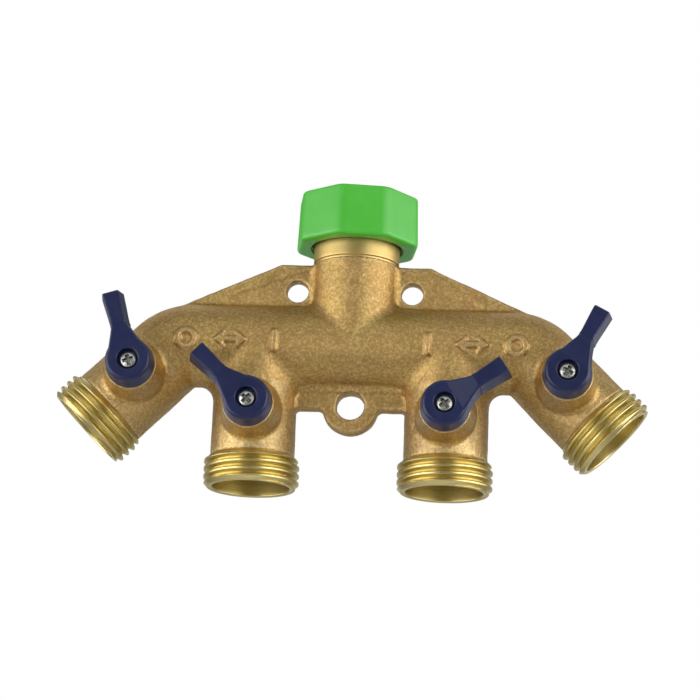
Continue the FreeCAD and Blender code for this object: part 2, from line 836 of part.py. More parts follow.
def make_stem_seals(name, valve):
    """The two rubber rings in the stem's grooves."""
    rings = []
    for order, seal in (("first", "first_seal_out"), ("second", "second_seal_out")):
        ring = doc.addObject("Part::Torus", f"{name}_{order}_seal")
        ring.setExpression("Radius1", bound("seal_centre_radius"))
        ring.setExpression("Radius2", bound("seal_section_radius"))
        upright = FreeCAD.Rotation(FreeCAD.Vector(1, 0, 0), 90)
        ring.Placement = FreeCAD.Placement(FreeCAD.Vector(0, -value(seal), 0), upright)
        rings.append(ring)
    seals = doc.addObject("Part::Compound", f"{name}_stem_seals")
    seals.Links = rings
    place_valve_part(seals, valve, valve["turn"])
    sub_parts.append(seals)


def make_lever(name, valve):
    """The moulded lever: a tapered hub on the stem's square and an arm that points up when open."""
    body = new_body(f"{name}_lever")
    hub = sketch_on(body, f"{name}_hub", "YZ_Plane")
    draw_outline(
        hub,
        [
            ("0 - hub_back", "0"),
            ("0 - hub_back", "hub_base_radius"),
            ("0 - hub_front + hub_bevel", "hub_front_radius"),
            ("0 - hub_front", "hub_front_radius - hub_bevel"),
            ("0 - hub_front", "0"),
        ],
    )
    revolve("Revolution", hub, "H_Axis")

    arm_sections = [
        draw_arm_section(body, name, "back", "arm_back", "arm_draft", "0"),
        draw_arm_section(body, name, "waist", "arm_front - arm_bevel", "0.2", "0.6"),
        draw_arm_section(body, name, "face", "arm_front", "0 - arm_bevel / 2", "0.6 + arm_bevel"),
    ]
    arm = body.newObject("PartDesign::AdditiveLoft", f"{name}_arm")
    arm.Profile = arm_sections[0]
    arm.Sections = arm_sections[1:]
    arm.Ruled = True

    ramp = sketch_on(body, f"{name}_ramp", "YZ_Plane")
    draw_outline(
        ramp,
        [
            ("0 - hub_front", "0 - arm_length"),
            ("0 - hub_front", "ramp_start"),
            ("0 - arm_front", "ramp_end"),
            ("0 - arm_front - overcut", "ramp_end"),
            ("0 - arm_front - overcut", "0 - arm_length"),
        ],
    )
    extrude("Pocket", ramp, "4 * hub_base_radius", both_ways=True)

    recess = sketch_on(body, f"{name}_recess", "XZ_Plane", out="recess_floor")
    draw_circle(recess, "recess_radius")
    pocket(recess, "hub_front - recess_floor + overcut")
    hole = sketch_on(body, f"{name}_lever_hole", "XZ_Plane", out="socket_floor - overcut / 2")
    draw_circle(hole, "screw_hole_radius")
    pocket(hole, "recess_floor - socket_floor + overcut")
    socket = sketch_on(body, f"{name}_socket", "XZ_Plane", out="hub_back - overcut / 2")
    half = "socket_width / 2"
    draw_box(socket, f"0 - {half}", half, f"0 - {half}", half)
    pocket(socket, "socket_floor - hub_back + overcut / 2")
    cut_stop_groove(body, name)
    place_valve_part(body, valve, valve["turn"])


def draw_arm_section(body, name, place, out, widen, shorten):
    """One level of the lever's arm: wide where it joins the hub, narrowest past it, wider at the tip."""
    section = sketch_on(body, f"{name}_arm_{place}", "XZ_Plane", out=out)
    right_side = [
        (f"arm_root_half_width + {widen}", "arm_root"),
        (f"arm_neck_half_width + {widen}", "ramp_end"),
        (f"arm_tip_half_width + {widen}", f"arm_length - ( {shorten} )"),
    ]
    left_side = [(f"0 - ( {across} )", up) for across, up in reversed(right_side)]
    draw_outline(section, right_side + left_side)
    return section


def cut_stop_groove(body, name):
    """The arc in the back of the hub that the boss's lug runs in, opposite the arm: as long as the
    lever's travel, with room for the lug and a little clearance."""
    groove = sketch_on(body, f"{name}_stop_groove", "YZ_Plane", turn="0")
    draw_box(
        groove,
        "0 - hub_back - groove_depth",
        "0 - hub_back + overcut / 2",
        "0 - groove_outer_radius",
        "0 - groove_inner_radius",
    )
    half_lug_angle = "atan( lug_half_width / lug_inner_radius )"
    sweep = f"lever_travel * 1 deg + 2 * ( {half_lug_angle} + stop_clearance * 1 deg )"
    feature = revolve("Groove", groove, "H_Axis", angle=sweep)
    feature.Midplane = True


def make_lever_screw(name, valve):
    """The cross-headed pan screw that holds the lever on the stem."""
    body = new_body(f"{name}_lever_screw")
    section = sketch_on(body, f"{name}_screw_section", "YZ_Plane")
    head_out = "recess_floor + screw_head_height"
    draw_outline(
        section,
        [
            ("0 - screw_start", "0"),
            ("0 - screw_start", "screw_radius"),
            ("0 - recess_floor", "screw_radius"),
            ("0 - recess_floor", "screw_head_radius"),
            (f"0 - ( {head_out} - 0.6 )", "screw_head_radius"),
            (f"0 - ( {head_out} )", "screw_head_radius - 0.8"),
            (f"0 - ( {head_out} )", "0"),
        ],
    )
    revolve("Revolution", section, "H_Axis")
    for arm_name, half_across, half_up in (
        ("cross_a", "cross_half_length", "cross_width / 2"),
        ("cross_b", "cross_width / 2", "cross_half_length"),
    ):
        slot = sketch_on(body, f"{name}_{arm_name}", "XZ_Plane", out=f"{head_out} - cross_depth")
        draw_box(slot, f"0 - {half_across}", half_across, f"0 - {half_up}", half_up)
        pocket(slot, "2 * cross_depth")
    place_valve_part(body, valve, valve["turn"])


def make_valve(name, valve):
    make_ball(name, valve)
    make_seat(name, valve, "upstream", FreeCAD.Vector(0, 0, 1))
    make_seat(name, valve, "downstream", FreeCAD.Vector(0, 0, -1))
    make_retainer(name, valve)
    make_stem(name, valve)
    make_stem_seals(name, valve)
    make_lever(name, valve)
    make_lever_screw(name, valve)


# ---------------------------------------------------------------- checking and writing


def check_document():
    """Stops unless every object computed, every cut removed something and every sub-part is sound."""
    problems = []
    for item in doc.Objects:
        if "Invalid" in item.State or "Error" in item.State:
            problems.append(f"{item.Name} is {item.State}")
            continue
        if item.TypeId in ("PartDesign::Pocket", "PartDesign::Groove"):
            removed = item.BaseFeature.Shape.Volume - item.Shape.Volume
            if removed < 0.01:
                problems.append(f"{item.Name} removes nothing")
    for part in sub_parts:
        if part.Shape.isNull() or not part.Shape.isValid():
            problems.append(f"{part.Label} has no sound shape")
    if problems:
        raise RuntimeError("; ".join(problems))


def write_parts():
    os.makedirs("parts", exist_ok=True)
    for part in sub_parts:
        part.Shape.exportStep(f"parts/{part.Label}.step")


fill_sheet()
make_manifold()
make_washer()
make_retaining_ring()
make_nut_core()
make_nut_grip()
for valve_name, valve_facts in VALVES.items():
    make_valve(valve_name, valve_facts)
doc.recompute()
check_document()
write_parts()
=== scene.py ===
"""Looks for a brass garden hose splitter with four ball valves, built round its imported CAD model.

Shapes are worked out in millimetres about the middle of the manifold's tube: +X runs right along the tube,
+Z up through the inlet and -Y towards the levers. The left half mirrors the right one. The casting, levers
and screws are distance fields: a field is negative inside its solid, and fields are joined, trimmed and cut
before one mesh is drawn round the result. Every field is worked out at each point and a small step away
along X, Y and Z, stacked along its arrays' first axis, so its slope is at hand. The threaded ends, collar
and nut are sections carried round an axis. The parts inside keep their CAD meshes.
"""

import json
import math

import bpy
import numpy as np
from mathutils import Matrix, Vector


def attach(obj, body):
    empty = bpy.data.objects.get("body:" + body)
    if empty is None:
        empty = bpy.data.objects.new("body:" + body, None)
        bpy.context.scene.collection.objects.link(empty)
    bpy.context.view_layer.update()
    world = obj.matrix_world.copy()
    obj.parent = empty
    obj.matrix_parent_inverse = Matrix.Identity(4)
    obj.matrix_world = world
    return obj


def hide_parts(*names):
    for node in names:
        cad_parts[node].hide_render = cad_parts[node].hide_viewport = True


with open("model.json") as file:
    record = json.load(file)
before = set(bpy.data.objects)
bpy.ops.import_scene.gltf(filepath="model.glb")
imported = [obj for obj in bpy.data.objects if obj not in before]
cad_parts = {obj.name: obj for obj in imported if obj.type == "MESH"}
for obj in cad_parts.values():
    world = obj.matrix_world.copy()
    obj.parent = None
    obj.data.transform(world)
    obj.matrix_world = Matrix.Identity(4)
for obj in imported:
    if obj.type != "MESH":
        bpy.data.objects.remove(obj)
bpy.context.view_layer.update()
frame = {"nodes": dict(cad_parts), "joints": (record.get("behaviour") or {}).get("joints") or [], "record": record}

MM = 0.001

# Manifold casting
TUBE_RADIUS = 11.8
ARM_RADIUS = 12.0
BEND_RADIUS = 12.2
CORNER_X = 49.8
NECK_RADIUS = 11.75
NECK_TOP = 24.6
BORE_RADIUS = 8.0
BORE_REACH = 46.0
PASSAGE_RADIUS = 6.5
CAVITY_RADIUS = 10.0
CAVITY_START = 8.4
INNER_REACH = 20.85
OUTER_REACH = 15.3
CAST_END = 11.2
TILT = math.radians(45)
WIDENING_START = CORNER_X - 6
WIDENING_END = CORNER_X + 4
OUTLET_ZONE = 14.0
END_EDGE = 0.3
BORE_EDGE = 0.25
BRANCH_FILLET = 4.6
NECK_FILLET = 3.2
SWELLS = ((0.08, 7.0, 11), (0.06, 2.0, 12))  # height, size and seed of each
SEAM_HEIGHT = 0.12
SEAM_WIDTH = 0.45
CAST_LOW = (-78.0, -21.6, -33.4)
CAST_HIGH = (78.0, 13.2, 26.0)
CAST_STEP = 0.45
CAST_SHARE = 0.44  # of the triangles first drawn

# Valve bosses, measured out from the mid-plane
BOSS_RADIUS = 7.1
BOSS_OUT = 19.6
BOSS_EDGE = 0.35
BOSS_FILLET = 1.7
FOOT_RADIUS = 8.4
FOOT_OUT = 12.0
FACE_CALM = 0.1  # how far behind a boss's face the casting's swells begin
FACE_ROUGH = 1.5  # and how far behind it they have their full height
STEM_BORE = 3.55
COUNTERBORE = 4.75
COUNTERBORE_OUT = 12.2
LUG_MIDDLE = 5.55
LUG_HALF_DEPTH = 0.6
LUG_HALF_WIDTH = 1.3
LUG_HEIGHT = 1.4
LUG_ROOT = 1.0
LUG_CORNER = 0.15
LUG_TURN = math.radians(45)

# Webs in the mid-plane
WEB_HALF = 2.6
GUSSET_CORNERS = [(6, 0), (48.5, 0), (48.5, 9.6), (20.9, 22.2), (6, 22.2)]
GUSSET_ROUNDING = 2.0
GUSSET_EDGE = 0.6
GUSSET_FILLET = 1.5
PANEL_CORNERS = [(13.6, 8), (13.6, 21.4), (32.3, 14.2), (35.6, 12.2), (38, 8)]
PANEL_ROUNDING = 1.2
PANEL_SLOPE = 0.7
PANEL_RECESS = 0.55
UPPER_HOLE = (16.4, 16.4)
UPPER_HOLE_RADIUS = 3.1
TAB_DROP = 16.9
TAB_RADIUS = 7.9
TAB_HOLE_RADIUS = 3.95
TAB_FILLET = 1.6
WEB_DROP = 17.9
WEB_REACH = 17.5
WEB_EDGE = 0.5
WEB_FILLET = 1.4
PANE_REACH = 15.7
PANE_DROP = 23.45
PANE_HALF_HEIGHT = 10.0
PANE_CORNER = 2.2
PANE_SLOPE_START = -0.2
PANE_SLOPE_END = 0.5
BAND_RISE = 0.6
HOLE_EDGE = 0.5

# Raised signs
SIGN_LEVEL = -0.75
SIGN_HEIGHT = 6.6
SIGN_STROKE = 1.6
SIGN_RISE = 0.9
SIGN_EDGE = 0.45
SIGN_FILLET = 0.5
OFF_SIGN_X = 46.5
ON_SIGN_X = 21.5
BAR_CORNER = 0.3
ARROW_X = 34.0
SHAFT_REACH = 3.6
SHAFT_HALF_WIDTH = 0.75
SHAFT_CORNER = 0.2
ARROW_HEAD = [(1.7, -2.5), (4.9, 0), (1.7, 2.5)]

# Threaded ends and collar
OVERLAP = 0.25
OUTLET_LENGTH = 20.2
CREST_RADIUS = 13.49
ROOT_RADIUS = 12.2
PITCH = 2.209
CREST_HALF = 0.2
ROOT_START = 1.12
LAST_CREST = 19.1
RUN_OUT_START = CAST_END - 0.3
RUN_OUT_END = CAST_END + 1.7
NECKING = 0.55
NECKING_END = CAST_END + 0.5
THREAD_COLUMNS = 288
THREAD_ROWS = 132
MOUTH_EDGE = 12.4
MOUTH_RADIUS = 11.0
MOUTH_DEPTH = 6.4
MOUTH_EASE = 0.12
COLLAR_RADIUS = 12.25
GROOVE_RADIUS = 11.7
COLLAR_START = 25.0
RING_RISE = 32.0
RING_THICKNESS = 1.0
RING_GROOVE = 11.7
NECK_END = 34.0
COLLAR_ROOT = NECK_TOP - 0.3
COLLAR_EDGE = 0.32
COLLAR_SPACING = 0.6
COLLAR_COLUMNS = 192

# Swivel nut
NUT_BOTTOM = 29.5
NUT_TOP = 44.35
NUT_FLAT = 16.95
NUT_DRAFT = 0.45
NUT_CORNER = 4.5
NUT_TURN = math.radians(8.3)
NUT_EDGE = 1.35
NUT_SIDES = 8
CORE_RADIUS = 15.0
FLANGE_THICKNESS = 1.0
FLANGE_BORE = 13.2
LIP_BORE = 13.1
LIP_THICKNESS = 1.4
RELIEF_RADIUS = 14.3
RELIEF_HEIGHT = 1.6
WASHER_BORE = 12.75
THREAD_START = 37.0
THREAD_MINOR = 12.35
THREAD_MAJOR = 13.62
CORE_TOP = 44.05
CORE_EDGE = 0.15
CORE_CHAMFER = 0.9
CORE_COLUMNS = 256
CORE_ROWS = 96
CORE_FIRST_CREST = THREAD_START + 0.6 * PITCH
GRIP_COLUMNS = 384
GRIP_ARC_STEPS = 9
GRIP_SHARP = 40
ROUND_AT_FLANGE = FLANGE_BORE + 0.8
ROUND_AT_TOP = CORE_RADIUS + 0.1
ROUND_SPAN = 0.9
LEAST_CORNER = 0.8

# Levers, measured out from the mid-plane and along the arm
HUB_BACK = 19.9
HUB_FRONT = 26.0
HUB_BASE_RADIUS = 7.0
HUB_FRONT_RADIUS = 6.2
HUB_BEVEL = 0.9
ARM_BEVEL = 0.35
BEVEL_START = 2.0
BEVEL_END = 8.0
HUB_FILLET = 7.0
ARM_BACK = 20.1
ARM_FRONT = 27.6
ARM_LENGTH = 20.2
ARM_DRAFT = 0.8
ARM_SHOULDER = 2
ARM_ROOT = 4.5
ARM_WAIST = 1.9
ARM_TIP = 2.4
TIP_EDGE = 0.5
BACK_EDGE = 0.25
RAMP_START = 3.3
RAMP_END = 10.2
RECESS_RADIUS = 2.95
RECESS_FLOOR = 23.6
RECESS_EDGE = 0.18
SOCKET_HALF = 2.35
SOCKET_FLOOR = 22.4
SHANK_CLEARANCE = 0.1
SLOT_RADIUS = 5.55
SLOT_HALF_WIDTH = 0.8
SLOT_DEPTH = 1.6
SLOT_SWEEP = math.radians(61.2)
LEVER_LOW = (-8.0, -8.0, 19.2)
LEVER_HIGH = (21.2, 8.0, 28.2)
LEVER_STEP = 0.22
LEVER_CREVICE_REACH = 0.6

# Lever screws
SCREW_RADIUS = 1.5
SCREW_START = 16.6
SCREW_OVERLAP = 0.5
HEAD_RADIUS = 2.3
HEAD_HEIGHT = 1.3
HEAD_EDGE = 0.2
HEAD_GAP = 0.03
DOME_RADIUS = 6.0
CROSS_REACH = 1.7
CROSS_REACH_DRAFT = 0.5
CROSS_HALF_WIDTH = 0.55
CROSS_WIDTH_DRAFT = 0.1
CROSS_DEPTH = 1.1
CROSS_EDGE = 0.06
SCREW_LOW = (-2.8, -2.8, 16.2)
SCREW_HIGH = (2.8, 2.8, 25.4)
SCREW_STEP = 0.1
SCREW_CREVICE_REACH = 0.8
FAR_END_SHARE = 0.97


# -------------------------------------------------------- what the frame says

valves = {}
for joint in frame["joints"]:
    if joint["name"].endswith("_valve_turn"):
        valves[joint["name"].removesuffix("_valve_turn")] = {"pivot": Vector(joint["pos_m"]) / MM}
for mount in frame["record"]["mounts"]:
    name = mount["name"].removesuffix("_outlet_thread")
    if name in valves:
        valves[name]["outlet"] = Vector(mount["axis"]).normalized()

TUBE_LEVEL = valves["right_inner"]["pivot"].z + INNER_REACH
INNER_X = valves["right_inner"]["pivot"].x
OUTER_X = valves["right_outer"]["pivot"].x
INNER_Z = -INNER_REACH
OUTER_Z = valves["right_outer"]["pivot"].z - TUBE_LEVEL
OUT = Vector((0, -1, 0))


def to_frame(points):
    """Points about the tube in millimetres, as the frame's metres."""
    return (np.asarray(points, float) + (0, 0, TUBE_LEVEL)) * MM


# -------------------------------------------------------- fields

STEP = 0.05
FAR = 1e9
LATTICE_SIZE = 32
LATTICE_SHIFT = 400
SETTLE_ROUNDS = 3
LEAST_SLOPE = 0.5
FIRST_MOVE = 0.6
LAST_MOVE = 0.2


def beside(x, y, z):
    """The same points, then each moved a step along X, Y and Z, stacked along a new first axis."""
    moved = []
    for axis, values in enumerate((x, y, z)):
        offsets = np.zeros(4, np.float32)
        offsets[axis + 1] = STEP
        moved.append(values[None] + offsets.reshape((4,) + (1,) * values.ndim))
    return moved


def alike(a, b):
    """How far two surfaces face the same way: 1 where they are parallel, 0 where they are square."""
    return np.clip(((a[1:] - a[:1]) * (b[1:] - b[:1])).sum(0) / STEP**2, 0, 1)


def weld(a, b, radius):
    """Both solids with a fillet between them, which fades where their surfaces run together."""
    reach = radius * (1 - alike(a, b))
    past_a = np.maximum(reach - a, 0)
    past_b = np.maximum(reach - b, 0)
    return np.maximum(reach, np.minimum(a, b)) - np.sqrt(past_a**2 + past_b**2)


def trim(a, b, ease):
    """What the two solids share, with its new edges eased."""
    past_a = np.maximum(ease + a, 0)
    past_b = np.maximum(ease + b, 0)
    return np.minimum(-ease, np.maximum(a, b)) + np.sqrt(past_a**2 + past_b**2)


def cut(a, tool, ease):
    """The first solid without the tool's, with its new edges eased."""
    return trim(a, -tool, ease)


def smooth(low, high, values):
    """A share that rises smoothly from 0 at low to 1 at high, or falls where high is the lesser."""
    share = np.clip((values - low) / (high - low), 0, 1)
    return share * share * (3 - 2 * share)


def outline(corners, u, v):
    """Distance from a closed outline of straight lines in a plane, negative inside it."""
    nearest = np.full(np.broadcast(u, v).shape, FAR, np.float32)
    inside = np.zeros(nearest.shape, bool)
    for (u0, v0), (u1, v1) in zip(corners, corners[1:] + corners[:1]):
        du, dv = u1 - u0, v1 - v0
        share = np.clip(((u - u0) * du + (v - v0) * dv) / (du * du + dv * dv), 0, 1)
        nearest = np.minimum(nearest, (u - u0 - share * du) ** 2 + (v - v0 - share * dv) ** 2)
        if v0 != v1:
            crossed = ((v0 <= v) != (v1 <= v)) & (u < u0 + (v - v0) * du / dv)
            inside ^= crossed
    return np.sqrt(nearest) * np.where(inside, -1, 1)


def box_outline(u, v, half_u, half_v, corner=0.0):
    """Distance from a box about the origin of a plane, with rounded corners."""
    past_u = np.abs(u) - half_u + corner
    past_v = np.abs(v) - half_v + corner
    outside = np.hypot(np.maximum(past_u, 0), np.maximum(past_v, 0))
    return outside + np.minimum(np.maximum(past_u, past_v), 0) - corner


def lattice_noise(x, y, z, size, seed):
    """Smooth noise from -1 to 1 with features of about that size, from a seeded lattice."""
    lattice = np.random.default_rng(seed).uniform(-1, 1, [LATTICE_SIZE] * 3).astype(np.float32)
    cells, shares = [], []
    for values in (x, y, z):
        scaled = values / size + LATTICE_SHIFT
        cell = np.floor(scaled)
        share = scaled - cell
        cells.append(cell.astype(np.int64))
        shares.append(share * share * (3 - 2 * share))
    total = 0
    for corner in range(8):
        picks = [(corner >> axis) & 1 for axis in range(3)]
        weight = 1
        for share, pick in zip(shares, picks):
            weight = weight * (share if pick else 1 - share)
        index = [(cell + pick) % LATTICE_SIZE for cell, pick in zip(cells, picks)]
        total = total + weight * lattice[index[0], index[1], index[2]]
    return total


CELL_CORNERS = [(i, j, k) for i in (0, 1) for j in (0, 1) for k in (0, 1)]


def crossed_cells(inside):
    """The grid's cells that the surface passes through, and each one's number, or -1 elsewhere."""
    count = sum(
        inside[i : i - 1 or None, j : j - 1 or None, k : k - 1 or None].astype(np.int8)
        for i, j, k in CELL_CORNERS
    )
    cells = np.argwhere((count > 0) & (count < len(CELL_CORNERS)))
    number = np.full(count.shape, -1, np.int64)
    number[tuple(cells.T)] = np.arange(len(cells))
    return cells, number


def cell_middles(values, cells):
    """For each cell, the mean of the places where its edges cross the surface, in cells."""
    sums = np.zeros((len(cells), 3))
    hits = np.zeros(len(cells))
    for start in CELL_CORNERS:
        for axis in range(3):
            if start[axis]:
                continue
            end = list(start)
            end[axis] = 1
            at_start = values[tuple((cells + start).T)]
            at_end = values[tuple((cells + end).T)]
            crossed = (at_start < 0) != (at_end < 0)
            share = at_start[crossed] / (at_start[crossed] - at_end[crossed])
            place = np.tile(np.array(start, float), (crossed.sum(), 1))
            place[:, axis] = share
            sums[crossed] += place
            hits[crossed] += 1
    return cells + sums / hits[:, None]


def crossed_edges(inside, number):
    """A quad round each grid edge that crosses the surface, facing out."""
    quads = []
    for axis in range(3):
        after = (axis + 1) % 3
        last = (axis + 2) % 3
        ahead = np.take(inside, range(1, inside.shape[axis]), axis)
        behind = np.take(inside, range(inside.shape[axis] - 1), axis)
        edges = np.argwhere(ahead != behind)
        ring = []
        for move_after, move_last in ((1, 1), (0, 1), (0, 0), (1, 0)):
            place = edges.copy()
            place[:, after] -= move_after
            place[:, last] -= move_last
            ring.append(number[tuple(place.T)])
        ring = np.stack(ring, 1)
        leaving = behind[tuple(edges.T)]
        ring[~leaving] = ring[~leaving][:, ::-1]
        quads.append(ring)
    return np.concatenate(quads)


def net_surface(field, low, high, step):
    """Draws a mesh of quads round a field's solid, and moves its corners onto the solid's surface."""
    axes = [np.arange(a, b + step, step, dtype=np.float32) for a, b in zip(low, high)]
    values = field(*beside(axes[0][:, None, None], axes[1][None, :, None], axes[2][None, None, :]))[0]
    values = np.broadcast_to(values, [len(axis) for axis in axes]).astype(np.float32)
    inside = values < 0
    cells, number = crossed_cells(inside)
    points = np.array(low) + step * cell_middles(values, cells)
    return settle(field, points, FIRST_MOVE * step), crossed_edges(inside, number)


def settle(field, points, most):
    """Moves points onto a field's surface, by no more than that each time."""
    for _ in range(SETTLE_ROUNDS):
        near, slopes = field_at(field, points)
        move = near[:, None] * slopes / np.maximum((slopes**2).sum(1), LEAST_SLOPE**2)[:, None]
        length = np.linalg.norm(move, axis=1)[:, None]
        points = points - move * np.minimum(1, most / np.maximum(length, 1e-9))
    return points


def field_at(field, points):
    """A field's value and slope at points given one to a row."""
    x, y, z = points.T.astype(np.float32)
    stacked = field(*beside(x, y, z))
    return stacked[0].astype(float), ((stacked[1:] - stacked[:1]) / STEP).T.astype(float)


# -------------------------------------------------------- meshes


def new_object(name, data):
    """An object that shows this data, in the scene."""
    made = bpy.data.objects.new(name, data)
    bpy.context.scene.collection.objects.link(made)
    return made


def thin(points, quads, share):
    """The same surface with about that share of its triangles, kept finest where it curves."""
    mesh = bpy.data.meshes.new("dense")
    mesh.from_pydata(points.tolist(), [], quads.tolist())
    dense = new_object("dense", mesh)
    dense.modifiers.new("thin", "DECIMATE").ratio = share
    thinned = dense.evaluated_get(bpy.context.evaluated_depsgraph_get()).to_mesh()
    places = np.empty(len(thinned.vertices) * 3)
    thinned.vertices.foreach_get("co", places)
    faces = [tuple(polygon.vertices) for polygon in thinned.polygons]
    dense.to_mesh_clear()
    bpy.data.objects.remove(dense)
    bpy.data.meshes.remove(mesh)
    return places.reshape(-1, 3), faces


def make_piece(name, body, material, points, faces, replaced, values=None, sharp=None):
    """A mesh piece from points in the frame's metres, with named values at its corners."""
    mesh = bpy.data.meshes.new(name)
    mesh.from_pydata(points.tolist(), [], [tuple(face) for face in faces])
    mesh.polygons.foreach_set("use_smooth", np.ones(len(mesh.polygons), bool))
    for attribute_name, numbers in (values or {}).items():
        attribute = mesh.attributes.new(attribute_name, "FLOAT", "POINT")
        attribute.data.foreach_set("value", np.asarray(numbers, np.float32))
    if sharp is not None:
        mesh.set_sharp_from_angle(angle=math.radians(sharp))
    mesh.materials.append(material)
    mesh.validate()
    piece = new_object(name, mesh)
    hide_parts(replaced)
    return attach(piece, body)


def field_piece(
    name, body, material, field, low, high, step, replaced, place=to_frame, reach=1.2, share=1
):
    """A piece drawn round a field, with how sunken and how proud each corner lies over that reach."""
    points, faces = net_surface(field, low, high, step)
    if share < 1:
        points, faces = thin(points, faces, share)
    points = settle(field, points, LAST_MOVE * step)
    slopes = field_at(field, points)[1]
    normals = slopes / np.maximum(np.linalg.norm(slopes, axis=1), 1e-6)[:, None]
    crevice = 1 - field_at(field, points + reach * normals)[0] / reach
    edge = 1 + field_at(field, points - reach * normals)[0] / reach
    values = {"crevice": np.clip(crevice, 0, 1), "edge": np.clip(edge, 0, 1)}
    return make_piece(name, body, material, place(points), faces, replaced, values)


def angles_round(count):
    """That many angles, evenly round a full turn."""
    return np.arange(count) * 2 * math.pi / count


def ring_piece(name, body, material, radii, heights, place, replaced, sharp=32, turn=0.0):
    """A piece whose section, closed on itself, runs round an axis; radii has a row for each angle."""
    around, along = radii.shape
    angles = angles_round(around) + turn
    heights = np.broadcast_to(heights, radii.shape)
    points = np.stack(
        [radii * np.cos(angles)[:, None], radii * np.sin(angles)[:, None], heights], -1
    ).reshape(-1, 3)
    rows, columns = np.meshgrid(np.arange(around), np.arange(along), indexing="ij")
    next_rows, next_columns = (rows + 1) % around, (columns + 1) % along
    faces = np.stack(
        [
            rows * along + columns,
            next_rows * along + columns,
            next_rows * along + next_columns,
            rows * along + next_columns,
        ],
        -1,
    ).reshape(-1, 4)
    values = {"along": heights.reshape(-1), "radius": radii.reshape(-1)}
    return make_piece(name, body, material, place(points), faces, replaced, values, sharp)


ARC_STEPS = 4
EASE_ROOM = 0.45


def rounded_section(corners, ease, arc_steps=ARC_STEPS, longest=1.2):
    """A closed section through the corners, each rounded, with long runs divided."""
    corners = [np.array(corner, float) for corner in corners]
    line = []
    for before, corner, after in zip(corners[-1:] + corners[:-1], corners, corners[1:] + corners[:1]):
        length_before = np.linalg.norm(before - corner)
        length_after = np.linalg.norm(after - corner)
        size = min(ease, min(length_before, length_after) * EASE_ROOM)
        start = corner + (before - corner) / length_before * size
        end = corner + (after - corner) / length_after * size
        for share in np.linspace(0, 1, arc_steps):
            line.append((1 - share) ** 2 * start + 2 * share * (1 - share) * corner + share**2 * end)
    filled = []
    for here, there in zip(line, line[1:] + line[:1]):
        pieces = max(1, math.ceil(np.linalg.norm(there - here) / longest))
        filled += [here + (there - here) * piece / pieces for piece in range(pieces)]
    return np.array(filled)


# -------------------------------------------------------- materials


class Nodes:
    """A material's node tree, with short ways to add and join nodes."""

    def __init__(self, name):
        self.material = bpy.data.materials.new(name)
        self.material.use_nodes = True
        self.tree = self.material.node_tree
        self.tree.nodes.clear()
        self.output = self.add("ShaderNodeOutputMaterial")
        self.shader = self.add("ShaderNodeBsdfPrincipled")
        self.join(self.shader.outputs["BSDF"], self.output.inputs["Surface"])

    def add(self, kind, **settings):
        node = self.tree.nodes.new(kind)
        for name, value in settings.items():
            setattr(node, name, value)
        return node

    def join(self, output, socket):
        self.tree.links.new(output, socket)

    def feed(self, socket, value):
        """Joins a socket to another node's output, or sets it to a plain value."""
        if isinstance(value, bpy.types.NodeSocket):
            self.join(value, socket)
        else:
            socket.default_value = value

    def pattern(self, kind, size):
        """A texture fixed to the object, with features about that many millimetres across."""
        node = self.add(kind)
        self.join(self.add("ShaderNodeTexCoord").outputs["Object"], node.inputs["Vector"])
        node.inputs["Scale"].default_value = 1 / (size * MM)
        return node

    def noise(self, size, detail=3.0, roughness=0.55):
        node = self.pattern("ShaderNodeTexNoise", size)
        node.inputs["Detail"].default_value = detail
        node.inputs["Roughness"].default_value = roughness
        return node.outputs["Fac"]

    def value(self, name):
        """One of the mesh's named values."""
        return self.add("ShaderNodeAttribute", attribute_name=name).outputs["Fac"]

    def range(self, value, low, high, to_low=0.0, to_high=1.0):
        """A value carried from one range to another, and held at its ends."""
        node = self.add("ShaderNodeMapRange")
        self.feed(node.inputs["Value"], value)
        for name, number in (("From Min", low), ("From Max", high), ("To Min", to_low), ("To Max", to_high)):
            node.inputs[name].default_value = number
        return node.outputs["Result"]

    def product(self, a, b):
        node = self.add("ShaderNodeMath", operation="MULTIPLY")
        self.feed(node.inputs[0], a)
        self.feed(node.inputs[1], b)
        return node.outputs["Value"]

    def mix(self, share, a, b):
        """A mix of two colours, each given as linear red, green and blue or as a socket."""
        node = self.add("ShaderNodeMix", data_type="RGBA")
        self.feed(node.inputs["Factor"], share)
        for socket, colour in ((node.inputs["A"], a), (node.inputs["B"], b)):
            self.feed(socket, colour if isinstance(colour, bpy.types.NodeSocket) else (*colour, 1))
        return node.outputs["Result"]

    def bump(self, height, depth, under=None):
        """A bump that stands up to depth millimetres, over the bump under it."""
        node = self.add("ShaderNodeBump")
        node.inputs["Strength"].default_value = 1.0
        node.inputs["Distance"].default_value = depth * MM
        self.feed(node.inputs["Height"], height)
        if under is not None:
            self.join(under, node.inputs["Normal"])
        return node.outputs["Normal"]

    def finish(self, colour, roughness, normal=None, **settings):
        """Sets up the shader and gives the finished material; settings are the shader's other sockets."""
        self.feed(self.shader.inputs["Base Color"], colour)
        self.feed(self.shader.inputs["Roughness"], roughness)
        if normal is not None:
            self.join(normal, self.shader.inputs["Normal"])
        for name, value in settings.items():
            self.shader.inputs[name].default_value = value
        return self.material


# Colours in linear red, green and blue, and how finely turned marks follow each other
DEEP_BRASS = (0.52, 0.345, 0.120)
PALE_BRASS = (0.59, 0.410, 0.140)
WARM_BRASS = (0.58, 0.35, 0.15)
COPPER = (0.55, 0.27, 0.10)
# painted highlight for the casting's proud edges
EDGE_HIGHLIGHT = (0.82, 0.64, 0.35)
DARK_GRAIN = (0.26, 0.15, 0.05)
BRIGHT_GRAIN = (0.80, 0.62, 0.32)
TURNED_MARK = (0.48, 0.37, 0.12)
# painted shade with grime, for the crevices of plain metal
GRIME_AND_SHADE = (0.04, 0.04, 0.03)
MARKS_PER_MM = 3.5


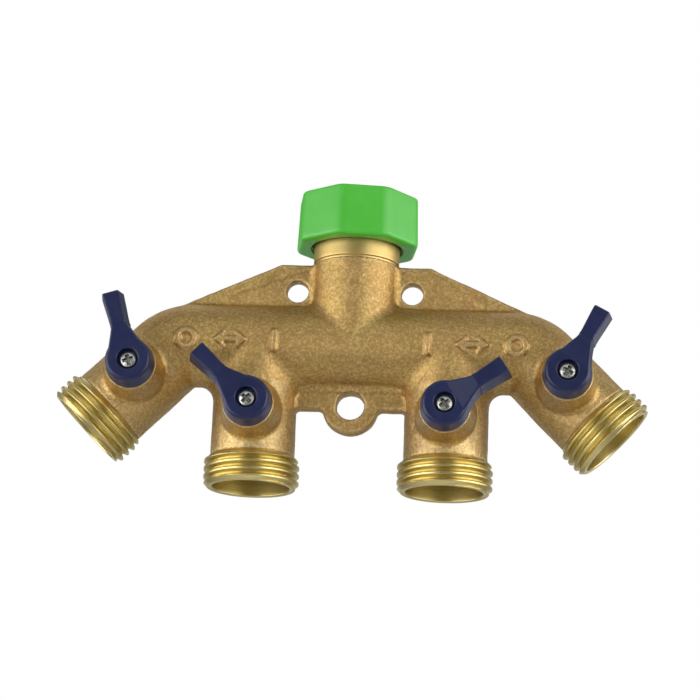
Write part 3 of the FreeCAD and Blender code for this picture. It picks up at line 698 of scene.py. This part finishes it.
def cast_brass():
    """Bead-blasted cast brass: fine grain and pits, with a coppery tone in its fillets and a painted highlight
    along its proud edges.
    """
    nodes = Nodes("cast_brass")
    crevice = nodes.value("crevice")
    edge = nodes.value("edge")
    broad = nodes.noise(16, 3)
    middle = nodes.noise(4.5, 4, 0.6)
    grain = nodes.noise(0.75, 4, 0.7)
    tone = nodes.mix(nodes.range(broad, 0.35, 0.65), DEEP_BRASS, PALE_BRASS)
    tone = nodes.mix(nodes.range(middle, 0.42, 0.68, 0, 0.55), tone, WARM_BRASS)
    copper = nodes.product(nodes.range(crevice, 0.04, 0.5), nodes.range(middle, 0.3, 0.7, 0.5, 1))
    tone = nodes.mix(nodes.product(copper, 0.5), tone, COPPER)
    # Painted highlight: proud edges, the signs' rims among them, are lightened towards pale brass.
    tone = nodes.mix(nodes.range(edge, 0.2, 0.65, 0, 0.75), tone, EDGE_HIGHLIGHT)
    tone = nodes.mix(nodes.range(grain, 0.38, 0.58, 0.5, 0), tone, DARK_GRAIN)
    tone = nodes.mix(nodes.range(grain, 0.52, 0.70, 0, 0.5), tone, BRIGHT_GRAIN)
    rough = nodes.range(middle, 0.3, 0.7, 0.42, 0.54)
    pits = nodes.range(nodes.pattern("ShaderNodeTexVoronoi", 1.2).outputs["Distance"], 0.0, 0.32)
    normal = nodes.bump(nodes.noise(1.8, 3, 0.5), 0.06)
    normal = nodes.bump(grain, 0.17, normal)
    normal = nodes.bump(pits, 0.03, normal)
    return nodes.finish(tone, rough, normal, Metallic=1.0)


def turned_brass(name, dark, light, roughness):
    """Lathe-turned brass with fine rings along its axis."""
    nodes = Nodes(name)
    along = nodes.value("along")
    combined = nodes.add("ShaderNodeCombineXYZ")
    nodes.join(along, combined.inputs["Z"])
    nodes.join(nodes.value("radius"), combined.inputs["X"])
    rings = nodes.add("ShaderNodeTexNoise")
    nodes.join(combined.outputs["Vector"], rings.inputs["Vector"])
    rings.inputs["Scale"].default_value = MARKS_PER_MM
    rings.inputs["Detail"].default_value = 4
    marks = rings.outputs["Fac"]
    broad = nodes.noise(5, 3)
    tone = nodes.mix(nodes.range(broad, 0.35, 0.65), dark, light)
    tone = nodes.mix(nodes.range(marks, 0.45, 0.7, 0, 0.35), tone, TURNED_MARK)
    rough = nodes.range(marks, 0.3, 0.7, roughness - 0.06, roughness + 0.06)
    return nodes.finish(tone, rough, nodes.bump(marks, 0.008), Metallic=1.0)


def moulded_plastic(name, dark, light, roughness, grain_depth, gloss):
    """Injection-moulded plastic: a faint spark-eroded grain and flow clouds."""
    nodes = Nodes(name)
    clouds = nodes.noise(7, 3)
    fine = nodes.noise(0.35, 3, 0.6)
    tone = nodes.mix(nodes.range(clouds, 0.35, 0.65), dark, light)
    rough = nodes.range(nodes.noise(2.2, 4), 0.3, 0.7, roughness - 0.05, roughness + 0.06)
    normal = nodes.bump(fine, grain_depth)
    normal = nodes.bump(nodes.noise(3.5, 2), 0.03, normal)
    return nodes.finish(tone, rough, normal, **{"Specular IOR Level": gloss})


def plain_metal(name, dark, light, roughness, mark_size, mark_depth):
    """Plated or drawn metal with fine marks and uneven gloss, and painted shade with grime darkening its crevices.
    """
    nodes = Nodes(name)
    marks = nodes.noise(mark_size, 4, 0.6)
    tone = nodes.mix(nodes.range(nodes.noise(1.5, 3), 0.35, 0.65), dark, light)
    # Painted shade with grime: crevices, such as the screws' cross and recess, are darkened nearly to black.
    tone = nodes.mix(nodes.range(nodes.value("crevice"), 0.3, 0.8, 0, 0.85), tone, GRIME_AND_SHADE)
    rough = nodes.range(marks, 0.3, 0.7, roughness - 0.05, roughness + 0.08)
    return nodes.finish(tone, rough, nodes.bump(marks, mark_depth), Metallic=1.0)


def soft_matter(name, dark, light, roughness):
    """Rubber or sealing plastic: matt, slightly uneven."""
    nodes = Nodes(name)
    tone = nodes.mix(nodes.range(nodes.noise(2, 4), 0.35, 0.65), dark, light)
    rough = nodes.range(nodes.noise(0.8, 3), 0.3, 0.7, roughness - 0.06, roughness + 0.06)
    return nodes.finish(tone, rough, nodes.bump(nodes.noise(0.3, 3), 0.01))


# Each finish: what makes it, its darker and lighter tone, its roughness, and what else its maker takes
FINISHES = {
    "turned_brass": (turned_brass, (0.66, 0.545, 0.225), (0.73, 0.615, 0.275), 0.33),
    "faced_brass": (turned_brass, (0.55, 0.39, 0.15), (0.61, 0.44, 0.17), 0.46),
    "green_plastic": (moulded_plastic, (0.050, 0.46, 0.018), (0.058, 0.49, 0.024), 0.42, 0.003, 0.85),
    "blue_plastic": (moulded_plastic, (0.007, 0.012, 0.058), (0.010, 0.015, 0.070), 0.36, 0.003, 0.45),
    "black_rubber": (soft_matter, (0.012, 0.012, 0.012), (0.025, 0.025, 0.025), 0.62),
    "white_seat": (soft_matter, (0.72, 0.72, 0.69), (0.82, 0.82, 0.80), 0.42),
    "chromed_ball": (plain_metal, (0.60, 0.60, 0.62), (0.68, 0.68, 0.70), 0.12, 1.2, 0.004),
    "spring_steel": (plain_metal, (0.38, 0.38, 0.39), (0.46, 0.46, 0.47), 0.34, 0.5, 0.01),
    "plated_steel": (plain_metal, (0.56, 0.57, 0.51), (0.66, 0.67, 0.61), 0.30, 0.4, 0.002),
}

materials = {"cast_brass": cast_brass()}
for finish_name, (make_finish, *finish_values) in FINISHES.items():
    materials[finish_name] = make_finish(finish_name, *finish_values)


# -------------------------------------------------------- manifold casting


def elbow_distance(across, z):
    """Distance in the mid-plane from the line through the tube, its bend and the outer outlet."""
    bend_x = CORNER_X - BEND_RADIUS * math.tan(TILT / 2)
    past = across - bend_x
    above = z + BEND_RADIUS
    angle = np.arctan2(past, above)
    straight = np.hypot(np.maximum(past, 0), z)
    bent = np.abs(np.hypot(past, above) - BEND_RADIUS)
    end_x = bend_x + BEND_RADIUS * math.sin(TILT)
    end_z = BEND_RADIUS * (math.cos(TILT) - 1)
    down = (across - end_x) * math.sin(TILT) - (z - end_z) * math.cos(TILT)
    aside = (across - end_x) * math.cos(TILT) + (z - end_z) * math.sin(TILT)
    slanted = np.hypot(np.minimum(down, 0), aside)
    bent = np.where((angle > 0) & (angle < TILT), bent, FAR)
    return np.minimum(np.minimum(straight, slanted), bent)


def outlet_places(across, y, z):
    """For the inner and the outer outlet: distance from its axis, and distance along it from the ball."""
    inner = (np.hypot(across - INNER_X, y), INNER_Z - z)
    aside = (across - OUTER_X) * math.cos(TILT) + (z - OUTER_Z) * math.sin(TILT)
    down = (across - OUTER_X) * math.sin(TILT) - (z - OUTER_Z) * math.cos(TILT)
    outer = (np.hypot(aside, y), down)
    return inner, outer


def boss_field(across, y, z, centre_x, centre_z):
    """A round boss whose wall tapers out from its foot to its face."""
    away = np.hypot(across - centre_x, z - centre_z)
    out = -y
    taper = (FOOT_RADIUS - BOSS_RADIUS) / (BOSS_OUT - FOOT_OUT)
    wall = (away - BOSS_RADIUS - taper * (BOSS_OUT - np.maximum(out, FOOT_OUT))) / math.hypot(1, taper)
    return np.maximum(trim(wall, out - BOSS_OUT, BOSS_EDGE), -out)


def gusset_field(across, y, z):
    """The web beside the neck, with a recessed panel inside a raised rim on both faces."""
    shape = outline(GUSSET_CORNERS, across, z) - GUSSET_ROUNDING
    panel = outline(PANEL_CORNERS, across, z) - PANEL_ROUNDING
    half = WEB_HALF - PANEL_RECESS * smooth(PANEL_SLOPE, -PANEL_SLOPE, panel)
    web = trim(shape, np.abs(y) - half, GUSSET_EDGE)
    hole = np.hypot(across - UPPER_HOLE[0], z - UPPER_HOLE[1]) - UPPER_HOLE_RADIUS
    return web, hole


def lower_web_field(across, y, z):
    """The web between the inner outlets, thicker round its lower pane, with a round hanging tab."""
    sheet = box_outline(across, z + WEB_DROP / 2, WEB_REACH, WEB_DROP / 2)
    tab = np.hypot(across, z + TAB_DROP) - TAB_RADIUS
    shape = weld(sheet, tab, TAB_FILLET)
    pane = box_outline(across, z + PANE_DROP, PANE_REACH, PANE_HALF_HEIGHT, PANE_CORNER)
    half = WEB_HALF + BAND_RISE * smooth(PANE_SLOPE_START, PANE_SLOPE_END, pane)
    web = trim(shape, np.abs(y) - half, WEB_EDGE)
    hole = np.hypot(across, z + TAB_DROP) - TAB_HOLE_RADIUS
    return web, hole


def sign_outline(across, z):
    """A ring for off, a bar for on and an arrow each way between them."""
    up = z - SIGN_LEVEL
    ring = np.abs(np.hypot(across - OFF_SIGN_X, up) - (SIGN_HEIGHT - SIGN_STROKE) / 2) - SIGN_STROKE / 2
    bar = box_outline(across - ON_SIGN_X, up, SIGN_STROKE / 2, SIGN_HEIGHT / 2, BAR_CORNER)
    shaft = box_outline(across - ARROW_X, up, SHAFT_REACH, SHAFT_HALF_WIDTH, SHAFT_CORNER)
    head = outline(ARROW_HEAD, np.abs(across - ARROW_X), up)
    return np.minimum(np.minimum(ring, bar), np.minimum(shaft, head))


def valve_centres():
    """Where the inner and the outer valve lie across and up from the tube's middle."""
    return (INNER_X, INNER_Z), (OUTER_X, OUTER_Z)


def waterways(x, across, y, z):
    """The bores through the casting, which meet at the balls' cavities, and the stems' bores."""
    down = np.maximum(np.hypot(x, y) - BORE_RADIUS, -z)
    along = np.maximum(np.hypot(y, z) - BORE_RADIUS, across - BORE_REACH)
    void = np.minimum(down, along)
    for (away, s), reach in zip(outlet_places(across, y, z), (INNER_REACH, OUTER_REACH)):
        passage = np.maximum(away - PASSAGE_RADIUS, -reach - s)
        cavity = np.maximum(away - CAVITY_RADIUS, -CAVITY_START - s)
        void = np.minimum(void, np.minimum(passage, cavity))
    for centre_x, centre_z in valve_centres():
        away = np.hypot(across - centre_x, z - centre_z)
        stem_bore = np.maximum(away - STEM_BORE, y)
        counterbore = np.maximum(away - COUNTERBORE, np.maximum(y, -y - COUNTERBORE_OUT))
        void = np.minimum(void, np.minimum(stem_bore, counterbore))
    return void


def lug_field(across, y, z, centre_x, centre_z, tilt):
    """The stop on a boss's face, which stands opposite the middle of the lever's travel."""
    turn = tilt - LUG_TURN
    u = (across - centre_x) * math.cos(turn) + (z - centre_z) * math.sin(turn)
    v = -(across - centre_x) * math.sin(turn) + (z - centre_z) * math.cos(turn)
    plan = box_outline(u, v + LUG_MIDDLE, LUG_HALF_WIDTH, LUG_HALF_DEPTH, LUG_CORNER)
    return np.maximum(np.maximum(plan, -y - BOSS_OUT - LUG_HEIGHT), y + BOSS_OUT - LUG_ROOT)


def cast_surface(x, y, z):
    """How far the sand mould's swells and its parting line raise the surface, but not the bosses' faces."""
    swells = sum(height * lattice_noise(x, y, z, size, seed) for height, size, seed in SWELLS)
    share = smooth(FACE_CALM - BOSS_OUT, FACE_ROUGH - BOSS_OUT, y)
    seam = SEAM_HEIGHT * np.exp(-((y / SEAM_WIDTH) ** 2))
    return swells * share, seam


def casting(x, y, z):
    """The whole casting: tube, branches, neck, webs, bosses and signs, then its ends, holes and bores."""
    across = np.abs(x)

    radius = TUBE_RADIUS + (ARM_RADIUS - TUBE_RADIUS) * smooth(WIDENING_START, WIDENING_END, across)
    tube = np.hypot(elbow_distance(across, z), y) - radius
    signs = trim(sign_outline(across, z), np.maximum(tube - SIGN_RISE, y), SIGN_EDGE)

    branch = np.sqrt((across - INNER_X) ** 2 + y**2 + np.maximum(z, 0) ** 2) - TUBE_RADIUS
    solid = weld(tube, branch, BRANCH_FILLET)
    neck = np.sqrt(x**2 + y**2 + np.minimum(z, 0) ** 2) - NECK_RADIUS
    solid = weld(solid, neck, NECK_FILLET)

    gusset, upper_hole = gusset_field(across, y, z)
    lower_web, tab_hole = lower_web_field(across, y, z)
    solid = weld(solid, gusset, GUSSET_FILLET)
    solid = weld(solid, lower_web, WEB_FILLET)
    for centre_x, centre_z in valve_centres():
        solid = weld(solid, boss_field(across, y, z, centre_x, centre_z), BOSS_FILLET)

    swells, seam = cast_surface(x, y, z)
    solid = weld(solid - swells - seam, signs, SIGN_FILLET)

    solid = trim(solid, z - NECK_TOP, END_EDGE)
    for away, s in outlet_places(across, y, z):
        solid = np.where(away < OUTLET_ZONE, trim(solid, s - CAST_END, END_EDGE), solid)
    solid = cut(solid, np.minimum(upper_hole, tab_hole), HOLE_EDGE)
    solid = cut(solid, waterways(x, across, y, z), BORE_EDGE)
    for (centre_x, centre_z), tilt in zip(valve_centres(), (0, TILT)):
        solid = np.minimum(solid, lug_field(across, y, z, centre_x, centre_z, tilt))
    return solid


field_piece(
    "manifold_casting", "manifold", materials["cast_brass"], casting, CAST_LOW, CAST_HIGH, CAST_STEP,
    "manifold_body", share=CAST_SHARE,
)


# -------------------------------------------------------- machined ends


def along_axis(origin, z_axis, x_axis):
    """A function that carries points drawn about +Z to an axis in the frame, in metres."""
    y_axis = z_axis.cross(x_axis)
    turn = np.array([x_axis, y_axis, z_axis], float)
    start = np.array(origin, float)
    return lambda points: (np.asarray(points, float) @ turn + start) * MM


def thread_height(angles, along, crest_at):
    """How far up a thread's flank each place lies, from 0 at the root to 1 on the crest."""
    turns = (along - crest_at) / PITCH - angles / (2 * math.pi)
    away = np.abs(turns - np.round(turns)) * PITCH
    return smooth(ROOT_START, CREST_HALF, away)


def beside_section(outside, s, section):
    """Threaded rows and a section that is the same all round, as one section's radii and heights."""
    same = np.broadcast_to(section[:, 0], (len(outside), len(section)))
    return np.concatenate([outside, same], 1), np.concatenate([s[0], section[:, 1]])


def outlet_end(name, pivot, axis):
    """One outlet's threaded end, with the thread running out towards the casting."""
    start = CAST_END - OVERLAP
    angles = angles_round(THREAD_COLUMNS)[:, None]
    s = np.linspace(start, OUTLET_LENGTH, THREAD_ROWS)[None, :]
    height = thread_height(angles, s, LAST_CREST) * smooth(RUN_OUT_START, RUN_OUT_END, s)
    shoulder = ROOT_RADIUS - NECKING * (1 - smooth(start, NECKING_END, s))
    outside = shoulder + (CREST_RADIUS - ROOT_RADIUS) * height
    outside = np.minimum(outside, MOUTH_EDGE + OUTLET_LENGTH - s)
    mouth_floor = OUTLET_LENGTH - MOUTH_DEPTH
    bore = rounded_section(
        [
            (MOUTH_EDGE - 0.3, OUTLET_LENGTH),
            (MOUTH_RADIUS + 0.2, OUTLET_LENGTH),
            (MOUTH_RADIUS, OUTLET_LENGTH - 0.25),
            (MOUTH_RADIUS, mouth_floor),
            (CAVITY_RADIUS, mouth_floor),
            (CAVITY_RADIUS, start),
        ],
        MOUTH_EASE,
    )
    # Known fault: the section's run back to its first corner stays in, as a thin cone inside the wall
    # that comes out across the mouth's inner corner.
    radii, heights = beside_section(outside, s, bore[ARC_STEPS:])
    ring_piece(
        f"{name}_threaded_end", "manifold", materials["turned_brass"], radii, heights,
        along_axis(pivot, axis, OUT), "manifold_body",
    )


for name, valve in valves.items():
    outlet_end(name, valve["pivot"], valve["outlet"])

upright = along_axis((0, 0, TUBE_LEVEL), Vector((0, 0, 1)), Vector((1, 0, 0)))

collar_section = rounded_section(
    [
        (BORE_RADIUS, COLLAR_ROOT),
        (GROOVE_RADIUS, COLLAR_ROOT),
        (GROOVE_RADIUS, COLLAR_START),
        (COLLAR_RADIUS, COLLAR_START),
        (COLLAR_RADIUS, RING_RISE),
        (RING_GROOVE, RING_RISE),
        (RING_GROOVE, RING_RISE + RING_THICKNESS),
        (COLLAR_RADIUS, RING_RISE + RING_THICKNESS),
        (COLLAR_RADIUS, NECK_END),
        (BORE_RADIUS, NECK_END),
    ],
    COLLAR_EDGE, longest=COLLAR_SPACING,
)
ring_piece(
    "inlet_collar", "manifold", materials["faced_brass"],
    np.tile(collar_section[:, 0], (COLLAR_COLUMNS, 1)), collar_section[:, 1],
    upright, "manifold_body",
)


# -------------------------------------------------------- swivel nut


def octagon_radius(angles, flat, corner):
    """Radius of a rounded octagon at each angle from the middle of a flat."""
    half = math.pi / NUT_SIDES
    turn = np.abs((angles + half) % (2 * half) - half)
    straight = flat / np.cos(turn)
    centre = (flat - corner) / math.cos(half)
    off = half - turn
    rounded = centre * np.cos(off) + np.sqrt(np.maximum(corner**2 - (centre * np.sin(off)) ** 2, 0))
    return np.where(np.tan(turn) * flat <= (flat - corner) * math.tan(half), straight, rounded)


def nut_grip():
    """The eight-sided grip, whose bore is round and whose outside draws in towards its top."""
    angles = angles_round(GRIP_COLUMNS)
    top_flat = NUT_FLAT - NUT_DRAFT
    section = rounded_section(
        [
            (FLANGE_BORE, NUT_BOTTOM),
            (NUT_FLAT, NUT_BOTTOM),
            (top_flat, NUT_TOP),
            (CORE_RADIUS, NUT_TOP),
            (CORE_RADIUS, NUT_BOTTOM + FLANGE_THICKNESS),
            (FLANGE_BORE, NUT_BOTTOM + FLANGE_THICKNESS),
        ],
        NUT_EDGE, arc_steps=GRIP_ARC_STEPS,
    )
    radii = np.tile(section[:, 0], (GRIP_COLUMNS, 1))
    for column, (radius, height) in enumerate(section):
        round_until = ROUND_AT_FLANGE if height < NUT_BOTTOM + NUT_EDGE else ROUND_AT_TOP
        share = np.clip((radius - round_until) / ROUND_SPAN, 0, 1)
        inset = NUT_FLAT - NUT_DRAFT * (height - NUT_BOTTOM) / (NUT_TOP - NUT_BOTTOM) - radius
        eight_sided = octagon_radius(angles, radius, max(NUT_CORNER - inset, LEAST_CORNER))
        radii[:, column] = radius + share * (eight_sided - radius)
    ring_piece(
        "nut_grip", "swivel_nut", materials["green_plastic"], radii, section[:, 1], upright,
        "swivel_nut_grip", sharp=GRIP_SHARP, turn=NUT_TURN,
    )


def nut_core():
    """The brass core, with the lip that the retaining ring holds and the inner thread above the washer."""
    angles = angles_round(CORE_COLUMNS)[:, None]
    lip = NUT_BOTTOM + FLANGE_THICKNESS
    relief = lip + LIP_THICKNESS
    section = rounded_section(
        [
            (THREAD_MINOR, CORE_TOP),
            (CORE_RADIUS, CORE_TOP),
            (CORE_RADIUS, lip),
            (LIP_BORE, lip),
            (LIP_BORE, relief),
            (RELIEF_RADIUS, relief),
            (RELIEF_RADIUS, relief + RELIEF_HEIGHT),
            (WASHER_BORE, relief + RELIEF_HEIGHT),
            (WASHER_BORE, THREAD_START),
            (THREAD_MINOR, THREAD_START),
        ],
        CORE_EDGE,
    )
    s = np.linspace(THREAD_START + 0.2, CORE_TOP - 0.2, CORE_ROWS)[None, :]
    fade = smooth(THREAD_START + 0.2, THREAD_START + 1.6, s) * smooth(CORE_TOP + 0.4, CORE_TOP - 0.8, s)
    height = thread_height(angles, s, CORE_FIRST_CREST) * fade
    threaded = THREAD_MINOR + (THREAD_MAJOR - THREAD_MINOR) * height
    threaded = np.maximum(threaded, THREAD_MINOR + CORE_CHAMFER - (CORE_TOP - s))
    # Known fault: the section's run back up the bore stays in, as a sleeve over the lower thread.
    radii, heights = beside_section(threaded, s, section[ARC_STEPS - 1 : -1])
    ring_piece(
        "nut_core", "swivel_nut", materials["turned_brass"], radii, heights, upright,
        "swivel_nut_core",
    )


nut_grip()
nut_core()


# -------------------------------------------------------- levers and screws


def lever_outside(u, v, w):
    """A lever's hub and arm, both wider at their backs, with the ramp between their fronts."""
    rise = np.clip((HUB_FRONT - w) / (HUB_FRONT - HUB_BACK), 0, 1)
    hub = np.hypot(u, v) - HUB_FRONT_RADIUS - (HUB_BASE_RADIUS - HUB_FRONT_RADIUS) * rise
    down = np.clip((ARM_FRONT - w) / (ARM_FRONT - ARM_BACK), 0, 1)
    right = [(ARM_SHOULDER, ARM_ROOT), (RAMP_END, ARM_WAIST), (ARM_LENGTH, ARM_TIP)]
    left = [(along, -across) for along, across in right]
    arm = outline([(0, -ARM_ROOT), *left, *right[::-1], (0, ARM_ROOT)], u, v) - ARM_DRAFT * down
    tip = ARM_LENGTH - ARM_DRAFT + ARM_DRAFT * down
    arm = trim(arm, u - tip, TIP_EDGE)
    plan = weld(hub, arm, HUB_FILLET)
    top = HUB_FRONT + (ARM_FRONT - HUB_FRONT) * np.clip((u - RAMP_START) / (RAMP_END - RAMP_START), 0, 1)
    bevel = HUB_BEVEL - (HUB_BEVEL - ARM_BEVEL) * smooth(BEVEL_START, BEVEL_END, u)
    back = np.where(u > HUB_BASE_RADIUS, ARM_BACK, HUB_BACK)
    return trim(trim(plan, w - top, bevel), back - w, BACK_EDGE)


def lever_field(u, v, w):
    """A lever about its screw's axis: u along the arm, v across it and w out from the mid-plane."""
    away = np.hypot(u, v)
    recess = np.maximum(away - RECESS_RADIUS, RECESS_FLOOR - w)
    solid = cut(lever_outside(u, v, w), recess, RECESS_EDGE)
    socket = np.maximum(np.maximum(np.abs(u), np.abs(v)) - SOCKET_HALF, w - SOCKET_FLOOR)
    shank = away - SCREW_RADIUS - SHANK_CLEARANCE
    sector = np.abs(np.arctan2(v, -u)) - SLOT_SWEEP
    slot = np.maximum(np.abs(away - SLOT_RADIUS) - SLOT_HALF_WIDTH, w - HUB_BACK - SLOT_DEPTH)
    slot = np.maximum(slot, sector * away)
    return np.maximum(solid, -np.minimum(np.minimum(socket, shank), slot))


def screw_field(u, v, w):
    """A cross-head screw whose domed head sits on the recess's floor, in the lever's directions."""
    away = np.hypot(u, v)
    dome = np.sqrt(away**2 + (w - RECESS_FLOOR - HEAD_HEIGHT + DOME_RADIUS) ** 2) - DOME_RADIUS
    head = trim(away - HEAD_RADIUS, dome, HEAD_EDGE)
    head = np.maximum(head, RECESS_FLOOR + HEAD_GAP - w)
    shank = np.maximum(away - SCREW_RADIUS, SCREW_START - w)
    shank = np.maximum(shank, w - RECESS_FLOOR - SCREW_OVERLAP)
    solid = np.minimum(head, shank)
    depth = np.clip(RECESS_FLOOR + HEAD_HEIGHT - w, 0, 1)
    reach = CROSS_REACH - CROSS_REACH_DRAFT * depth
    half_width = CROSS_HALF_WIDTH - CROSS_WIDTH_DRAFT * depth
    arms = np.minimum(box_outline(u, v, reach, half_width), box_outline(v, u, reach, half_width))
    cross = np.maximum(arms, RECESS_FLOOR + HEAD_HEIGHT - CROSS_DEPTH - w)
    return cut(solid, cross, CROSS_EDGE)


def arm_direction(name, pivot):
    """Which way a lever's arm points at rest, from the far end of its CAD solid."""
    mesh = frame["nodes"][f"{name}_lever"].data
    places = np.array([tuple(vertex.co) for vertex in mesh.vertices]) / MM - np.array(pivot)
    places[:, 1] = 0
    lengths = np.linalg.norm(places, axis=1)
    far = places[lengths > FAR_END_SHARE * lengths.max()].mean(0)
    return Vector(far).normalized()


for name, valve in valves.items():
    carry = along_axis(valve["pivot"], OUT, arm_direction(name, valve["pivot"]))
    field_piece(
        f"{name}_handle", f"{name}_valve", materials["blue_plastic"], lever_field,
        LEVER_LOW, LEVER_HIGH, LEVER_STEP, f"{name}_lever", carry, LEVER_CREVICE_REACH,
    )
    field_piece(
        f"{name}_cross_screw", f"{name}_valve", materials["plated_steel"], screw_field,
        SCREW_LOW, SCREW_HIGH, SCREW_STEP, f"{name}_lever_screw", carry, SCREW_CREVICE_REACH,
    )


# -------------------------------------------------------- CAD nodes that stay

CAD_FINISHES = {
    "inlet_washer": "black_rubber",
    "retaining_ring": "spring_steel",
}
for name in valves:
    CAD_FINISHES[f"{name}_ball"] = "chromed_ball"
    CAD_FINISHES[f"{name}_upstream_seat"] = "white_seat"
    CAD_FINISHES[f"{name}_downstream_seat"] = "white_seat"
    CAD_FINISHES[f"{name}_seat_retainer"] = "turned_brass"
    CAD_FINISHES[f"{name}_stem"] = "turned_brass"
    CAD_FINISHES[f"{name}_stem_seals"] = "black_rubber"

for node, finish in CAD_FINISHES.items():
    mesh = frame["nodes"][node].data
    mesh.materials.clear()
    mesh.materials.append(materials[finish])


# -------------------------------------------------------- camera, light and floor

# Angles in degrees, sizes and distances in metres
CAMERA_AZIMUTH = 3.75
CAMERA_ELEVATION = -14.981
CAMERA_ROLL = -2.413
CAMERA_DISTANCE = 775.08 * MM
TARGET = Vector((-0.857, 0, 0.054 + TUBE_LEVEL)) * MM
LENS = 140.0
SENSOR_WIDTH = 36
LIGHT_DISTANCE = 0.9
FLOOR_LEVEL = -1.0
FLOOR_HALF = 12.0
FLOOR_GLOW = 0.55
WORLD_LIT = 0.185
WORLD_SEEN = 1.0
WHITE = (1, 1, 1, 1)

# Each light's azimuth, elevation, width, height and watts
LIGHTS = {
    "left_softbox": (-65, -4, 1.55, 0.78, 10.3),
    "right_softbox": (71, 3, 1.55, 0.7, 10.2),
    "top_fill": (4, 52, 1.1, 0.6, 1.45),
    "top_back": (180, 60, 1.7, 0.5, 1.9),
    "backdrop": (180, -4, 1.8, 0.5, 1.3),
}


def facing(azimuth, elevation):
    """The direction from the object towards a viewer at that azimuth and elevation, in degrees."""
    a, e = math.radians(azimuth), math.radians(elevation)
    return Vector((math.sin(a) * math.cos(e), -math.cos(a) * math.cos(e), math.sin(e)))


def add_camera():
    """The camera, turned to the target and rolled about its own line of sight."""
    back = facing(CAMERA_AZIMUTH, CAMERA_ELEVATION)
    azimuth = math.radians(CAMERA_AZIMUTH)
    right = Vector((math.cos(azimuth), math.sin(azimuth), 0))
    up = back.cross(right)
    roll = math.radians(CAMERA_ROLL)
    cosine, sine = math.cos(roll), math.sin(roll)
    rolled_right = cosine * right - sine * up
    rolled_up = sine * right + cosine * up
    data = bpy.data.cameras.new("camera")
    data.lens = LENS
    data.sensor_width = SENSOR_WIDTH
    data.clip_start = 0.01
    data.clip_end = 100
    camera = new_object("camera", data)
    turn = Matrix((rolled_right, rolled_up, back)).transposed()
    camera.matrix_world = Matrix.Translation(TARGET + back * CAMERA_DISTANCE) @ turn.to_4x4()
    bpy.context.scene.camera = camera


def add_light(name, azimuth, elevation, width, height, watts):
    """A soft rectangular light turned to the object."""
    data = bpy.data.lights.new(name, "AREA")
    data.shape = "RECTANGLE"
    data.size = width
    data.size_y = height
    data.energy = watts
    light = new_object(name, data)
    back = facing(azimuth, elevation)
    light.location = TARGET + back * LIGHT_DISTANCE
    light.rotation_euler = back.to_track_quat("Z", "Y").to_euler()
    light.visible_camera = False


def add_world():
    """White behind the object, and a dimmer even light on it."""
    world = bpy.data.worlds.new("studio")
    world.use_nodes = True
    bpy.context.scene.world = world
    tree = world.node_tree
    tree.nodes.clear()
    path = tree.nodes.new("ShaderNodeLightPath")
    blend = tree.nodes.new("ShaderNodeMixShader")
    output = tree.nodes.new("ShaderNodeOutputWorld")
    tree.links.new(path.outputs["Is Camera Ray"], blend.inputs["Fac"])
    tree.links.new(blend.outputs["Shader"], output.inputs["Surface"])
    for socket, strength in ((1, WORLD_LIT), (2, WORLD_SEEN)):
        background = tree.nodes.new("ShaderNodeBackground")
        background.inputs["Color"].default_value = WHITE
        background.inputs["Strength"].default_value = strength
        tree.links.new(background.outputs["Background"], blend.inputs[socket])


def add_floor():
    """A plain floor well below the object, pale to the camera without throwing more light up at it."""
    nodes = Nodes("floor_paint")
    tone = nodes.mix(nodes.noise(400, 3), (0.86, 0.86, 0.86), (0.90, 0.90, 0.90))
    material = nodes.finish(tone, 0.7)
    seen = nodes.add("ShaderNodeLightPath").outputs["Is Camera Ray"]
    nodes.join(nodes.product(seen, FLOOR_GLOW), nodes.shader.inputs["Emission Strength"])
    nodes.shader.inputs["Emission Color"].default_value = WHITE
    mesh = bpy.data.meshes.new("floor")
    signs = ((-1, -1), (1, -1), (1, 1), (-1, 1))
    corners = [(x_sign * FLOOR_HALF, y_sign * FLOOR_HALF, FLOOR_LEVEL) for x_sign, y_sign in signs]
    mesh.from_pydata(corners, [], [(0, 1, 2, 3)])
    mesh.materials.append(material)
    new_object("floor", mesh)


add_camera()
for name, settings in LIGHTS.items():
    add_light(name, *settings)
add_world()
add_floor()
bpy.context.scene.view_settings.view_transform = "Standard"
